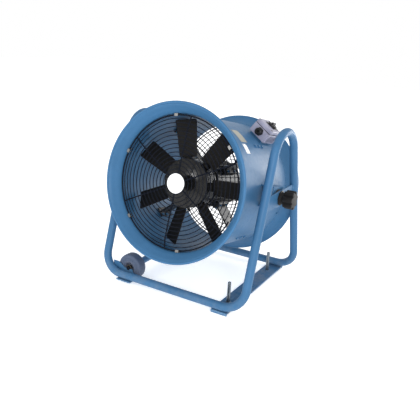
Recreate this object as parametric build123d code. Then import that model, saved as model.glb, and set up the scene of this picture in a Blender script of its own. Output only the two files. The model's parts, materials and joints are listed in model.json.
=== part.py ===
from build123d import *
from math import atan2, cos, radians, sin, sqrt, tan
import os

# Portable axial ventilator: a flared duct casing that tilts in a wheeled tube cradle.
# Frame: millimetres, +Z up, floor at z = 0, X along the tilt line, inlet faces -Y.
# The origin is on the floor, halfway between the two tilt knobs.

os.makedirs("parts", exist_ok=True)

# Cradle
TUBE_R = 16.0
TUBE_WALL = 2.0
HALF_WIDTH = 311.0
HALF_BASE = 249.0
TUBE_Z = 29.0
LEG_LEAN = 16.2
CORNER_R = 80.0
TOP_BEND_R = 96.0

# Casing
PIVOT_Z = 395.0
TILT = 11.0
CASING_LENGTH = 530.0
BORE_R = 250.0
SHEET = 2.0
RIM_R = 290.0
BEAD_R = 5.0
FRONT_FLARE = 42.0
REAR_FLARE = 55.0

# Impeller
BLADE_COUNT = 7
BLADE_ANGLE = 104.0
BLADE_PITCH = 27.5
BLADE_TIP_CHORD = 80.0
BLADE_ROOT_CHORD = 66.0
BLADE_THICK = 4.0
BLADE_TIP_R = 239.0
IMPELLER_Y = -130.0
HUB_R = 92.0
HUB_LENGTH = 68.0
SHAFT_R = 12.0

# Guards
RING_PITCH = 15.0
RING_COUNT = 14
FIRST_RING_R = 52.0
WIRE_R = 1.5
SPOKE_R = 2.5
SPOKE_COUNT = 6
SPOKE_ANGLE = 26.0
DISH_START_R = 205.0
DISH_SLOPE = 0.25
FRONT_GUARD_Y = -233.0
REAR_GUARD_Y = 224.0

# Wheels and feet
WHEEL_R = 53.0
WHEEL_WIDTH = 42.0
WHEEL_X = -205.0
WHEEL_FACE_Y = 226.0
AXLE_R = 8.0
RUNNING_GAP = 0.05
PLATE_X = 224.5
PLATE_WIDTH = 65.0
PLATE_BOTTOM = 8.0
PLATE_THICK = 5.0
PEG_X = 219.0
PEG_Y = 177.0
PEG_R = 6.5
PEG_SPIGOT_R = 5.0
PEG_HEIGHT = 82.0

# Tilt clamps
STUD_R = 8.0
STUD_HOLE_R = 8.6
BAR_THICK = 6.0
BAR_HALF_HEIGHT = 27.0
BRACKET_HALF_LENGTH = 45.0
BRACKET_HALF_HEIGHT = 40.0
BRACKET_SHEET = 4.0
BRACKET_FACE_X = 300.0
FRICTION_DISC_R = 30.0
KNOB_FLANGE_R = 28.0
KNOB_GAP = 0.3
GRIP_INNER_X = 334.0
GRIP_THICK = 36.0
KNOB_LOBES = 7

# Motor
MOTOR_R = 88.0
MOTOR_BORE_R = 66.0
MOTOR_FRONT_Y = -68.0
MOTOR_BACK_Y = 110.0
FIN_COUNT = 36
FIN_HEIGHT = 8.0
FIN_THICK = 3.0
ARM_ANGLES = (40.0, 130.0, 220.0, 310.0)
ARM_THICK = 6.0
ARM_BOLT_YS = (-9.0, 22.0, 53.0)
ARM_BOLT_ASIDE = 3.0
BOLT_R = 4.0
BOLT_HOLE_R = 4.2

# Switch box
BOX_ANGLE = 55.0
BOX_FRONT_Y = 62.0
BOX_LENGTH = 103.0
BOX_WIDTH = 80.0
BOX_FLOOR_R = 258.0
BOX_SEAM_R = 298.0
BOX_TOP_R = 315.0
BOX_WALL = 3.0
SEAL_THICK = 1.5
GLAND_R = 17.0
GLAND_BORE_R = 6.0

TUBE_LEAN = radians(LEG_LEAN)
WALL_R = BORE_R + SHEET
IN_CASING = Pos(0, 0, PIVOT_Z) * Rot(-TILT, 0, 0)


def save(name, *shapes):
    """Write one node, made of one or more separate solids."""
    solids = [solid for shape in shapes for solid in shape.solids()]
    node = solids[0] if len(solids) == 1 else Compound(children=solids)
    node.label = name
    export_step(node, f"parts/{name}.step")


def save_tilted(name, *shapes):
    """Write one node of the casing, turned from casing axes to its resting tilt."""
    save(name, *[IN_CASING * shape for shape in shapes])


def box_between(x0, x1, y0, y1, z0, z1):
    """A box from its two corners."""
    centre = Pos((x0 + x1) / 2, (y0 + y1) / 2, (z0 + z1) / 2)
    return centre * Box(x1 - x0, y1 - y0, z1 - z0)


def along_x(radius, x0, x1):
    """A round bar along X."""
    return Pos((x0 + x1) / 2, 0, 0) * Rot(0, 90, 0) * Cylinder(radius, abs(x1 - x0))


def along_y(radius, y0, y1):
    """A round bar along Y."""
    return Pos(0, (y0 + y1) / 2, 0) * Rot(90, 0, 0) * Cylinder(radius, abs(y1 - y0))


def sleeve_y(outer, inner, y0, y1):
    """A ring or tube along Y."""
    return along_y(outer, y0, y1) - along_y(inner, y0 - 1, y1 + 1)


def outward(angle):
    """Turn +Z to point outward from the casing axis, at an angle up from +X."""
    return Rot(0, 90 - angle, 0)


def turned(profile):
    """Spin a profile, drawn as radius and axial position, about the casing axis."""
    return revolve(profile, Axis.Y)


def swept_round(path, radius):
    """A round bar along a path."""
    return sweep(Plane(path @ 0, z_dir=path % 0) * Circle(radius), path=path)


def tube(path):
    """A length of the cradle's tube along a path."""
    return swept_round(path, TUBE_R) - swept_round(path, TUBE_R - TUBE_WALL)


# Cradle: one loop of bent tube, cut at the ends of its bends
def leg_point(side, end, climb):
    """A point on a leg's centre line, measured along the leg from its base corner."""
    y = end * (HALF_BASE - climb * sin(TUBE_LEAN))
    return Vector(side * HALF_WIDTH, y, TUBE_Z + climb * cos(TUBE_LEAN))


LEG_LINE = HALF_BASE / sin(TUBE_LEAN)
LEG_TOP = LEG_LINE - TOP_BEND_R / tan(TUBE_LEAN)
TOP_BEND_CREST = TUBE_Z + HALF_BASE / tan(TUBE_LEAN) - TOP_BEND_R * (1 / sin(TUBE_LEAN) - 1)


def corner_path(side, end):
    """The bend from a cross tube up into a leg."""
    start = Vector(side * (HALF_WIDTH - CORNER_R), end * HALF_BASE, TUBE_Z)
    finish = leg_point(side, end, CORNER_R)
    corner = leg_point(side, end, 0)
    centre = start + finish - corner
    middle = centre + (corner - centre).normalized() * CORNER_R
    return ThreePointArc(start, middle, finish)


def leg_path(side, end):
    """The straight part of a leg."""
    return Line(leg_point(side, end, CORNER_R), leg_point(side, end, LEG_TOP))


def top_path(side):
    """The bend that joins the two legs on one side."""
    crest = Vector(side * HALF_WIDTH, 0, TOP_BEND_CREST)
    return ThreePointArc(leg_point(side, -1, LEG_TOP), crest, leg_point(side, 1, LEG_TOP))


cross_half = HALF_WIDTH - CORNER_R
cross_lines = [
    Line((-cross_half, y, TUBE_Z), (cross_half, y, TUBE_Z)) for y in (-HALF_BASE, HALF_BASE)
]
save("cross_tubes", *[tube(line) for line in cross_lines])
save("corner_bends", *[tube(corner_path(side, end)) for side in (-1, 1) for end in (-1, 1)])
for side_name, side in (("near", 1), ("far", -1)):
    for end_name, end in (("front", -1), ("rear", 1)):
        save(f"{side_name}_{end_name}_leg", tube(leg_path(side, end)))
    save(f"{side_name}_top_bend", tube(top_path(side)))

# Pivot bars between the legs, coped to the tubes
for side_name, side in (("near", 1), ("far", -1)):
    inner = side * (HALF_WIDTH - BAR_THICK / 2)
    outer = side * (HALF_WIDTH + BAR_THICK / 2)
    half_bar = HALF_BASE - (PIVOT_Z - TUBE_Z) * tan(TUBE_LEAN)
    bar = box_between(
        min(inner, outer), max(inner, outer), -half_bar, half_bar,
        PIVOT_Z - BAR_HALF_HEIGHT, PIVOT_Z + BAR_HALF_HEIGHT,
    )
    bar -= swept_round(leg_path(side, -1), TUBE_R) + swept_round(leg_path(side, 1), TUBE_R)
    bar -= Pos(0, 0, PIVOT_Z) * along_x(STUD_HOLE_R, inner - side, outer + side)
    save(f"{side_name}_pivot_bar", bar)

# Foot plate under the near ends of the cross tubes, with its end lips, pads and pegs
PLATE_TOP = PLATE_BOTTOM + PLATE_THICK
PLATE_END_Y = 262.0
LIP_THICK = 4.0
LIP_BOTTOM = 2.0
PAD_LENGTH = 44.0
PAD_INSET = 4.0
plate_x0 = PLATE_X - PLATE_WIDTH / 2
plate_x1 = PLATE_X + PLATE_WIDTH / 2
foot_plate = box_between(plate_x0, plate_x1, -PLATE_END_Y, PLATE_END_Y, PLATE_BOTTOM, PLATE_TOP)
for end in (-1, 1):
    lip_y = sorted((end * PLATE_END_Y, end * (PLATE_END_Y - LIP_THICK)))
    foot_plate += box_between(plate_x0, plate_x1, *lip_y, LIP_BOTTOM, PLATE_TOP)
peg_places = [Pos(PEG_X, end * PEG_Y, 0) for end in (-1, 1)]
for place in peg_places:
    foot_plate -= place * Cylinder(PEG_SPIGOT_R, 4 * PLATE_TOP)
save("foot_plate", foot_plate)

pads = []
for end in (-1, 1):
    pad_y = sorted((end * (PLATE_END_Y - LIP_THICK), end * (PLATE_END_Y - LIP_THICK - PAD_LENGTH)))
    pad = box_between(plate_x0 + PAD_INSET, plate_x1 - PAD_INSET, *pad_y, 0, PLATE_BOTTOM)
    pads.append(chamfer(pad.faces().sort_by(Axis.Z)[0].edges(), 1))
save("foot_pads", *pads)

PEG_TOP_ROUND = 4.0
PEG_WELD_R = 9.0
PEG_WELD_HEIGHT = 2.0
peg = Pos(0, 0, PLATE_TOP + PEG_HEIGHT / 2) * Cylinder(PEG_R, PEG_HEIGHT)
peg = fillet(peg.faces().sort_by(Axis.Z)[-1].edges(), PEG_TOP_ROUND)
peg += Pos(0, 0, PLATE_BOTTOM + PLATE_THICK / 2) * Cylinder(PEG_SPIGOT_R, PLATE_THICK)
peg += Pos(0, 0, PLATE_TOP + PEG_WELD_HEIGHT / 2) * Cone(PEG_WELD_R, PEG_R, PEG_WELD_HEIGHT)
save("pegs", *[place * peg for place in peg_places])

# Axle on two cradle brackets at the far ends of the cross tubes
AXLE_Z = WHEEL_R
BRACKET_THICK = 4.0
AXLE_BRACKET_Y = HALF_BASE - TUBE_R
AXLE_END_Y = AXLE_BRACKET_Y + 2
CRADLE_TOP = 51.0
HORN_TOP = 70.0
SHELF_HALF_WIDTH = 33.0
axle_brackets = []
for end in (-1, 1):
    outline = Polyline(
        (WHEEL_X - 72, PLATE_TOP + 12), (WHEEL_X - 72, HORN_TOP), (WHEEL_X - 48, HORN_TOP),
        (WHEEL_X - 18, CRADLE_TOP), (WHEEL_X + 18, CRADLE_TOP),
        (WHEEL_X + SHELF_HALF_WIDTH, PLATE_TOP), (WHEEL_X + SHELF_HALF_WIDTH, PLATE_BOTTOM),
        (WHEEL_X - SHELF_HALF_WIDTH, PLATE_BOTTOM),
        close=True,
    )
    web_y = AXLE_BRACKET_Y if end > 0 else BRACKET_THICK - AXLE_BRACKET_Y
    web = Pos(0, web_y, 0) * extrude(Plane.XZ * make_face(outline), BRACKET_THICK)
    shelf_y = sorted((end * (AXLE_BRACKET_Y - BRACKET_THICK), end * (PLATE_END_Y + 4)))
    shelf = box_between(
        WHEEL_X - SHELF_HALF_WIDTH, WHEEL_X + SHELF_HALF_WIDTH, *shelf_y, PLATE_BOTTOM, PLATE_TOP,
    )
    bracket = web + shelf - Pos(WHEEL_X, 0, AXLE_Z) * along_y(AXLE_R, -PLATE_END_Y, PLATE_END_Y)
    bracket -= swept_round(corner_path(-1, end), TUBE_R)
    axle_brackets.append(bracket)
save("axle_brackets", *axle_brackets)

on_axle = Pos(WHEEL_X, 0, AXLE_Z)
SLEEVE_R = 13.5
SLEEVE_END_Y = WHEEL_FACE_Y - WHEEL_WIDTH - 2.5
save("axle", on_axle * along_y(AXLE_R, -AXLE_END_Y, AXLE_END_Y))
save("axle_sleeve", on_axle * sleeve_y(SLEEVE_R, AXLE_R, -SLEEVE_END_Y, SLEEVE_END_Y))
WASHER_R = 13.0
WASHER_GAP = 0.5
inner_washer = (SLEEVE_END_Y, WHEEL_FACE_Y - WHEEL_WIDTH - WASHER_GAP)
outer_washer = (WHEEL_FACE_Y + WASHER_GAP, AXLE_BRACKET_Y - BRACKET_THICK)
washers = []
for end in (-1, 1):
    for start, stop in (inner_washer, outer_washer):
        low, high = sorted((end * start, end * stop))
        washers.append(on_axle * sleeve_y(WASHER_R, AXLE_R, low, high))
save("axle_washers", *washers)

RECESS_R = 17.0
RECESS_DEPTH = 12.0
WHEEL_HUB_R = 25.0
TYRE_EDGE_R = 6.0
for end_name, end in (("front", -1), ("rear", 1)):
    low, high = sorted((end * WHEEL_FACE_Y, end * (WHEEL_FACE_Y - WHEEL_WIDTH)))
    tyre = sleeve_y(WHEEL_R, WHEEL_HUB_R, low, high)
    round_edges = tyre.edges().filter_by(GeomType.CIRCLE)
    tyre = fillet([edge for edge in round_edges if edge.radius > WHEEL_HUB_R + 1], TYRE_EDGE_R)
    hub = sleeve_y(WHEEL_HUB_R, AXLE_R + RUNNING_GAP, low, high)
    hub -= sleeve_y(RECESS_R, AXLE_R + 3, low - 1, low + RECESS_DEPTH)
    hub -= sleeve_y(RECESS_R, AXLE_R + 3, high - RECESS_DEPTH, high + 1)
    save(f"{end_name}_wheel_tyre", on_axle * tyre)
    save(f"{end_name}_wheel_hub", on_axle * hub)


# Casing shell: a barrel with a flared, beaded mouth at each end
def flare(end, depth, start_slope, end_slope):
    """Half section of one flared mouth, from the barrel out to the middle of its bead."""
    rise = RIM_R - BEAD_R - BORE_R
    radius = rise / (cos(start_slope) - cos(end_slope))
    throat_y = CASING_LENGTH / 2 - depth
    centre_r = BORE_R + radius * cos(start_slope)
    centre_y = throat_y - radius * sin(start_slope)

    def spot(slope, reach):
        return Vector(centre_r - reach * cos(slope), end * (centre_y + reach * sin(slope)))

    middle = (start_slope + end_slope) / 2
    air_side = ThreePointArc(*[spot(a, radius) for a in (start_slope, middle, end_slope)])
    back_side = ThreePointArc(*[spot(a, radius - SHEET) for a in (start_slope, middle, end_slope)])
    ends = [Line(air_side @ i, back_side @ i) for i in (0, 1)]
    return make_face([air_side, ends[1], back_side, ends[0]])


def flare_slopes(depth, turn):
    """Start and end slopes of a flare whose chord spans the mouth and turns by an angle."""
    chord = atan2(RIM_R - BEAD_R - BORE_R, depth - BEAD_R)
    return chord - turn / 2, chord + turn / 2


def bead(end):
    """The rolled bead at one rim."""
    return Pos(RIM_R - BEAD_R, end * (CASING_LENGTH / 2 - BEAD_R)) * Circle(BEAD_R)


FRONT_THROAT_Y = FRONT_FLARE - CASING_LENGTH / 2
REAR_THROAT_Y = CASING_LENGTH / 2 - REAR_FLARE
barrel_length = REAR_THROAT_Y - FRONT_THROAT_Y
barrel = Pos((BORE_R + WALL_R) / 2, (FRONT_THROAT_Y + REAR_THROAT_Y) / 2) * Rectangle(SHEET, barrel_length)
section = barrel + bead(-1) + bead(1)
section += flare(-1, FRONT_FLARE, *flare_slopes(FRONT_FLARE, radians(44)))
section += flare(1, REAR_FLARE, *flare_slopes(REAR_FLARE, radians(36)))
shell = turned(section)

# Holes through the shell for the motor arm bolts, guard clips and switch box leads
CLIP_SCREW_R = 2.5
CLIP_HOLE_R = 2.6
CLIP_INSET = 16.0
CLIP_ANGLES = [40 + 60 * i for i in range(6)]
LEAD_HOLE_R = 10.0
BOX_MIDDLE_Y = BOX_FRONT_Y + BOX_LENGTH / 2


def drill(angle, y, radius, start=BORE_R - 8, stop=WALL_R + 8):
    """A radial bar that cuts or fills a hole in the shell."""
    reach = Pos(0, y, (start + stop) / 2) * Cylinder(radius, stop - start)
    return outward(angle) * reach


clip_spots = [(angle, FRONT_THROAT_Y + CLIP_INSET) for angle in CLIP_ANGLES]
clip_spots += [(angle, REAR_THROAT_Y - CLIP_INSET) for angle in CLIP_ANGLES]
for angle, y in clip_spots:
    shell -= drill(angle, y, CLIP_HOLE_R)
for angle in ARM_ANGLES:
    for y in ARM_BOLT_YS:
        shell -= drill(angle + ARM_BOLT_ASIDE, y, BOLT_HOLE_R)
shell -= drill(BOX_ANGLE, BOX_MIDDLE_Y, LEAD_HOLE_R)
save_tilted("casing_shell", shell)

# Pivot brackets: channels welded to the barrel, each carrying a stud
FRICTION_OUTER_X = HALF_WIDTH - BAR_THICK / 2 - KNOB_GAP
STUD_HEAD_R = 12.0
STUD_HEAD_THICK = 10.0
STUD_END_X = 356.0
discs, studs = [], []
for side_name, side in (("near", 1), ("far", -1)):
    channel = box_between(
        BORE_R - 20, BRACKET_FACE_X, -BRACKET_HALF_LENGTH, BRACKET_HALF_LENGTH,
        -BRACKET_HALF_HEIGHT, BRACKET_HALF_HEIGHT,
    )
    inside_half = BRACKET_HALF_HEIGHT - BRACKET_SHEET
    channel -= box_between(
        0, BRACKET_FACE_X - BRACKET_SHEET, -BRACKET_HALF_LENGTH - 1, BRACKET_HALF_LENGTH + 1,
        -inside_half, inside_half,
    )
    channel -= along_y(WALL_R, -BRACKET_HALF_LENGTH - 1, BRACKET_HALF_LENGTH + 1)
    channel -= along_x(STUD_R, BORE_R, BRACKET_FACE_X + 1)
    disc = along_x(FRICTION_DISC_R, BRACKET_FACE_X, FRICTION_OUTER_X)
    disc -= along_x(STUD_R, BRACKET_FACE_X - 1, FRICTION_OUTER_X + 1)
    web_inner_x = BRACKET_FACE_X - BRACKET_SHEET
    head = Pos(web_inner_x - STUD_HEAD_THICK, 0, 0) * Rot(0, 90, 0)
    head *= extrude(RegularPolygon(STUD_HEAD_R, 6), STUD_HEAD_THICK)
    stud = head + along_x(STUD_R, web_inner_x - 1, STUD_END_X)
    stud = chamfer(stud.faces().sort_by(Axis.X)[-1].edges(), 1)
    turn = Rot(0, 0, 0 if side > 0 else 180)
    save_tilted(f"{side_name}_pivot_bracket", turn * channel)
    discs.append(turn * disc)
    studs.append(turn * stud)
save_tilted("friction_discs", *discs)
save_tilted("pivot_studs", *studs)

# Clamp knobs: a flange, a neck and a lobed grip in one moulding round a blind bore
FLANGE_THICK = 4.0
NECK_R = 22.0
GRIP_CORE_R = 26.0
LOBE_R = 9.5
knob_start = HALF_WIDTH + BAR_THICK / 2 + KNOB_GAP
lobe_places = [Rot(0, 0, 360 * i / KNOB_LOBES) * Pos(GRIP_CORE_R, 0) for i in range(KNOB_LOBES)]
grip_outline = Circle(GRIP_CORE_R) + [place * Circle(LOBE_R) for place in lobe_places]
grip = extrude(grip_outline, GRIP_THICK)
grip = fillet(grip.faces().sort_by(Axis.Z)[-1].edges(), 2.5)
grip = Pos(GRIP_INNER_X, 0, 0) * Rot(0, 90, 0) * grip
knob = grip + along_x(NECK_R, knob_start, GRIP_INNER_X + 1)
knob += along_x(KNOB_FLANGE_R, knob_start, knob_start + FLANGE_THICK)
knob -= along_x(STUD_R + RUNNING_GAP, knob_start - 1, STUD_END_X + 1)
save_tilted("near_knob", knob)
save_tilted("far_knob", Rot(0, 0, 180) * knob)


# Guards: concentric wire rings on six spokes, dished gently outward, with a middle plate
def ring_y(middle_y, end, radius):
    """Axial position of a ring of the dished guard."""
    return middle_y - end * DISH_SLOPE * max(0, radius - DISH_START_R)


def wire_ring(radius, wire, y):
    """One ring of round wire."""
    return Pos(0, y, 0) * Rot(90, 0, 0) * Torus(radius, wire)


OUTER_RING_R = 244.0
OUTER_WIRE_R = 2.5
MIDDLE_PLATE_R = 40.0
MIDDLE_PLATE_THICK = 2.0
LABEL_R = 36.0
LABEL_THICK = 1.0
SPOKE_START_R = 24.0
SPOKE_BEND_R = 20.0
WIRE_GAP = 0.2
for end_name, end, middle_y in (("front", -1, FRONT_GUARD_Y), ("rear", 1, REAR_GUARD_Y)):
    radii = [FIRST_RING_R + RING_PITCH * i for i in range(RING_COUNT - 1)]
    rings = [wire_ring(r, WIRE_R, ring_y(middle_y, end, r)) for r in radii]
    spoke_offset = end * (WIRE_R + SPOKE_R + WIRE_GAP)
    outer_offset = end * (OUTER_WIRE_R - WIRE_R)
    outer_y = ring_y(middle_y, end, OUTER_RING_R) + outer_offset
    rings.append(wire_ring(OUTER_RING_R, OUTER_WIRE_R, outer_y))
    save_tilted(f"{end_name}_guard_rings", *rings)
    spoke_y = middle_y - spoke_offset
    spoke_end_y = ring_y(middle_y, end, OUTER_RING_R) - spoke_offset
    spoke_line = FilletPolyline(
        (SPOKE_START_R, spoke_y, 0), (DISH_START_R, spoke_y, 0), (OUTER_RING_R, spoke_end_y, 0),
        radius=SPOKE_BEND_R,
    )
    spoke = swept_round(spoke_line, SPOKE_R)
    angles = [SPOKE_ANGLE + 360 * i / SPOKE_COUNT for i in range(SPOKE_COUNT)]
    save_tilted(f"{end_name}_guard_spokes", *[Rot(0, -angle, 0) * spoke for angle in angles])
    plate_y = sorted((middle_y - end * WIRE_R, middle_y - end * (WIRE_R - MIDDLE_PLATE_THICK)))
    save_tilted(f"{end_name}_guard_plate", along_y(MIDDLE_PLATE_R, *plate_y))
label_back = FRONT_GUARD_Y + WIRE_R - MIDDLE_PLATE_THICK
save_tilted("front_disc_label", along_y(LABEL_R, label_back - LABEL_THICK, label_back))

# Guard clips: a strap on the shell wall with a hook over the outer ring, held by one screw
CLIP_WIDTH = 14.0
CLIP_THICK = 2.0
CLIP_OUTER_R = 249.6
HOOK_INNER_R = 240.0
SCREW_HEAD_R = 4.5
SCREW_HEAD_THICK = 3.0
NUT_THICK = 4.0
clips, clip_screws = [], []
for (angle, y), end in zip(clip_spots, [-1] * 6 + [1] * 6):
    middle_y = FRONT_GUARD_Y if end < 0 else REAR_GUARD_Y
    ring_outside_y = ring_y(middle_y, end, OUTER_RING_R) + end * (2 * OUTER_WIRE_R - WIRE_R)
    strap_r = CLIP_OUTER_R - CLIP_THICK
    clip_end_y = ring_outside_y + end * (CLIP_THICK + WIRE_GAP)
    strap_y = sorted((y - end * CLIP_WIDTH / 2, clip_end_y))
    hook_y = sorted((ring_outside_y + end * WIRE_GAP, clip_end_y))
    strap = box_between(-CLIP_WIDTH / 2, CLIP_WIDTH / 2, *strap_y, strap_r, CLIP_OUTER_R)
    hook = box_between(-CLIP_WIDTH / 2, CLIP_WIDTH / 2, *hook_y, HOOK_INNER_R, CLIP_OUTER_R)
    clips.append(outward(angle) * (strap + hook) - drill(angle, y, CLIP_SCREW_R))
    screw = drill(angle, y, CLIP_SCREW_R, strap_r - 1, WALL_R + NUT_THICK + 1)
    screw += drill(angle, y, SCREW_HEAD_R, strap_r - SCREW_HEAD_THICK, strap_r)
    screw += drill(angle, y, SCREW_HEAD_R, WALL_R + 0.1, WALL_R + NUT_THICK)
    clip_screws.append(screw)
save_tilted("guard_clips", *clips)
save_tilted("guard_screws", *clip_screws)

# Motor: finned body, end shields and bearings, held on four arms
SHIELD_THICK = 12.0
BOSS_R = 34.0
BOSS_LENGTH = 10.0
BEARING_R = 26.0
BEARING_WIDTH = 14.0
fin_height = FIN_HEIGHT + 2
fin = Pos(MOTOR_R + FIN_HEIGHT / 2 - 1, 0) * Rectangle(fin_height, FIN_THICK)
fins = [Rot(0, 0, 360 * (i + 0.5) / FIN_COUNT) * fin for i in range(FIN_COUNT)]
motor_outline = Circle(MOTOR_R) + fins - Circle(MOTOR_BORE_R)
motor_length = MOTOR_BACK_Y - MOTOR_FRONT_Y
motor_body = Pos(0, MOTOR_BACK_Y, 0) * Rot(90, 0, 0) * extrude(motor_outline, motor_length)
FOOT_HALF_WIDTH = 16.0
ARM_HALF_LENGTH = 40.0
ARM_Y = 22.0
ARM_FOOT_R = MOTOR_R + FIN_HEIGHT + 4
feet = []
for angle in ARM_ANGLES:
    foot = box_between(
        -FOOT_HALF_WIDTH, FOOT_HALF_WIDTH, ARM_Y - ARM_HALF_LENGTH, ARM_Y + ARM_HALF_LENGTH,
        MOTOR_R - 3, ARM_FOOT_R,
    )
    feet.append(outward(angle) * foot)
motor_body = motor_body + feet - along_y(MOTOR_BORE_R, MOTOR_FRONT_Y - 1, MOTOR_BACK_Y + 1)
shields = []
for end, face_y in ((-1, MOTOR_FRONT_Y), (1, MOTOR_BACK_Y)):
    shield_y = sorted((face_y, face_y + end * SHIELD_THICK))
    boss_y = sorted((face_y + end * SHIELD_THICK, face_y + end * (SHIELD_THICK + BOSS_LENGTH)))
    shield = along_y(MOTOR_R + 4, *shield_y) + along_y(BOSS_R, *boss_y)
    shield -= along_y(SHAFT_R + 2, shield_y[0] - 20, shield_y[1] + 20)
    pocket_y = sorted((face_y, face_y + end * BEARING_WIDTH))
    shield -= along_y(BEARING_R, *pocket_y)
    shields.append(shield)
save_tilted("motor_shields", *shields)
bearings = [
    sleeve_y(BEARING_R, SHAFT_R + RUNNING_GAP, MOTOR_FRONT_Y - BEARING_WIDTH, MOTOR_FRONT_Y),
    sleeve_y(BEARING_R, SHAFT_R + RUNNING_GAP, MOTOR_BACK_Y, MOTOR_BACK_Y + BEARING_WIDTH),
]
save_tilted("motor_bearings", *bearings)
STATOR_INNER_R = 40.0
CORE_Y0 = -35.0
CORE_Y1 = 75.0
save_tilted("motor_stator", sleeve_y(MOTOR_BORE_R, STATOR_INNER_R, CORE_Y0, CORE_Y1))

TAB_HALF_WIDTH = 20.0
FOOT_BOLT_ASIDE = 10.0
FOOT_BOLT_YS = (-4.0, 48.0)
FOOT_BOLT_DEPTH = 14.0
FOOT_BOLT_R = 3.0
FOOT_BOLT_HEAD_R = 5.0
BOLT_HEAD_R = 6.5
BOLT_HEAD_THICK = 5.0
NUT_SEAT = 0.1
tab_inner_r = sqrt(BORE_R ** 2 - TAB_HALF_WIDTH ** 2) - ARM_THICK
arm_y0 = ARM_Y - ARM_HALF_LENGTH
arm_y1 = ARM_Y + ARM_HALF_LENGTH
arms, arm_bolts, foot_bolts = [], [], []
for angle in ARM_ANGLES:
    turn = outward(angle)
    arm = box_between(-ARM_THICK / 2, ARM_THICK / 2, arm_y0, arm_y1, ARM_FOOT_R, tab_inner_r)
    arm += box_between(
        -FOOT_HALF_WIDTH, FOOT_HALF_WIDTH, arm_y0, arm_y1, ARM_FOOT_R, ARM_FOOT_R + ARM_THICK,
    )
    arm += box_between(
        -TAB_HALF_WIDTH, TAB_HALF_WIDTH, arm_y0, arm_y1, tab_inner_r, tab_inner_r + ARM_THICK,
    )
    arm = turn * arm
    for y in ARM_BOLT_YS:
        side = angle + ARM_BOLT_ASIDE
        arm -= drill(side, y, BOLT_HOLE_R)
        nut_top = tab_inner_r - NUT_SEAT
        bolt = drill(side, y, BOLT_R, nut_top - BOLT_HEAD_THICK, WALL_R + 2)
        bolt += drill(side, y, BOLT_HEAD_R, nut_top - BOLT_HEAD_THICK, nut_top)
        bolt += drill(side, y, BOLT_HEAD_R, WALL_R + NUT_SEAT, WALL_R + NUT_SEAT + BOLT_HEAD_THICK)
        arm_bolts.append(bolt)
    for y in FOOT_BOLT_YS:
        for aside in (-FOOT_BOLT_ASIDE, FOOT_BOLT_ASIDE):
            seat = Pos(aside, y, ARM_FOOT_R + ARM_THICK)
            shank = seat * Pos(0, 0, -FOOT_BOLT_DEPTH / 2) * Cylinder(FOOT_BOLT_R, FOOT_BOLT_DEPTH)
            cap = seat * Pos(0, 0, BOLT_HEAD_THICK / 2) * Cylinder(FOOT_BOLT_HEAD_R, BOLT_HEAD_THICK)
            arm -= turn * shank
            motor_body -= turn * shank
            foot_bolts.append(turn * (shank + cap))
    arms.append(arm)
save_tilted("motor_body", motor_body)
save_tilted("motor_arms", *arms)
save_tilted("motor_arm_bolts", *arm_bolts, *foot_bolts)

# Impeller: hub on the motor shaft, flat paddle blades on round shanks, and a domed nose
HUB_RIM_THICK = 14.0
HUB_WEB_THICK = 12.0
HUB_BOSS_R = 26.0
BLADE_ROOT_R = 100.0
SHANK_R = 10.0
COLLAR_R = 17.0
COLLAR_START = HUB_R + 0.3
BLADE_CORNER_R = 7.0
SHAFT_FRONT_Y = -163.0
SHAFT_BACK_Y = 130.0
hub_y0 = IMPELLER_Y - HUB_LENGTH / 2
hub_y1 = IMPELLER_Y + HUB_LENGTH / 2
hub = sleeve_y(HUB_R, HUB_R - HUB_RIM_THICK, hub_y0, hub_y1)
hub += along_y(HUB_R - 1, IMPELLER_Y - HUB_WEB_THICK / 2, IMPELLER_Y + HUB_WEB_THICK / 2)
hub += along_y(HUB_BOSS_R, hub_y0, hub_y1)
hub -= along_y(SHAFT_R, hub_y0 - 1, hub_y1 + 1)
shank_start = HUB_R - HUB_RIM_THICK
blade_foot = Pos(0, IMPELLER_Y, BLADE_ROOT_R)
shank_length = BLADE_ROOT_R - shank_start
shank_bar = blade_foot * Pos(0, 0, -shank_length / 2) * Cylinder(SHANK_R, shank_length)
collar_length = BLADE_ROOT_R - COLLAR_START
collar = blade_foot * Pos(0, 0, -collar_length / 2) * Cylinder(COLLAR_R, collar_length)
half_root, half_tip = BLADE_ROOT_CHORD / 2, BLADE_TIP_CHORD / 2
paddle = make_face(Polyline(
    (-half_root, BLADE_ROOT_R - 2), (half_root, BLADE_ROOT_R - 2), (half_tip, BLADE_TIP_R),
    (-half_tip, BLADE_TIP_R), close=True,
))
paddle = Plane.XZ * fillet(paddle.vertices(), BLADE_CORNER_R)
paddle = Pos(0, BLADE_THICK / 2, 0) * extrude(paddle, BLADE_THICK)
paddle = Pos(0, IMPELLER_Y, 0) * Rot(0, 0, BLADE_PITCH) * paddle
blade = paddle + collar + shank_bar
blade_turns = [outward(BLADE_ANGLE + 360 * i / BLADE_COUNT) for i in range(BLADE_COUNT)]
for turn in blade_turns:
    hub -= turn * shank_bar
save_tilted("impeller_hub", hub)
save_tilted("impeller_blades", *[turn * blade for turn in blade_turns])

NOSE_RISE = 13.0
NOSE_EDGE = 2.0
nose_sphere_r = (HUB_R ** 2 + NOSE_RISE ** 2) / (2 * NOSE_RISE)
dome = Pos(0, hub_y0 - NOSE_EDGE - NOSE_RISE + nose_sphere_r, 0) * Sphere(nose_sphere_r)
nose = dome & along_y(HUB_R, hub_y0 - NOSE_EDGE - NOSE_RISE - 1, hub_y0)
save_tilted("impeller_nose", nose)
shaft = along_y(SHAFT_R, SHAFT_FRONT_Y, SHAFT_BACK_Y)
save_tilted("motor_shaft", chamfer(shaft.faces().sort_by(Axis.Y)[-1].edges(), 1))
save_tilted("motor_rotor", sleeve_y(STATOR_INNER_R - 0.5, SHAFT_R, CORE_Y0, CORE_Y1))

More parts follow.
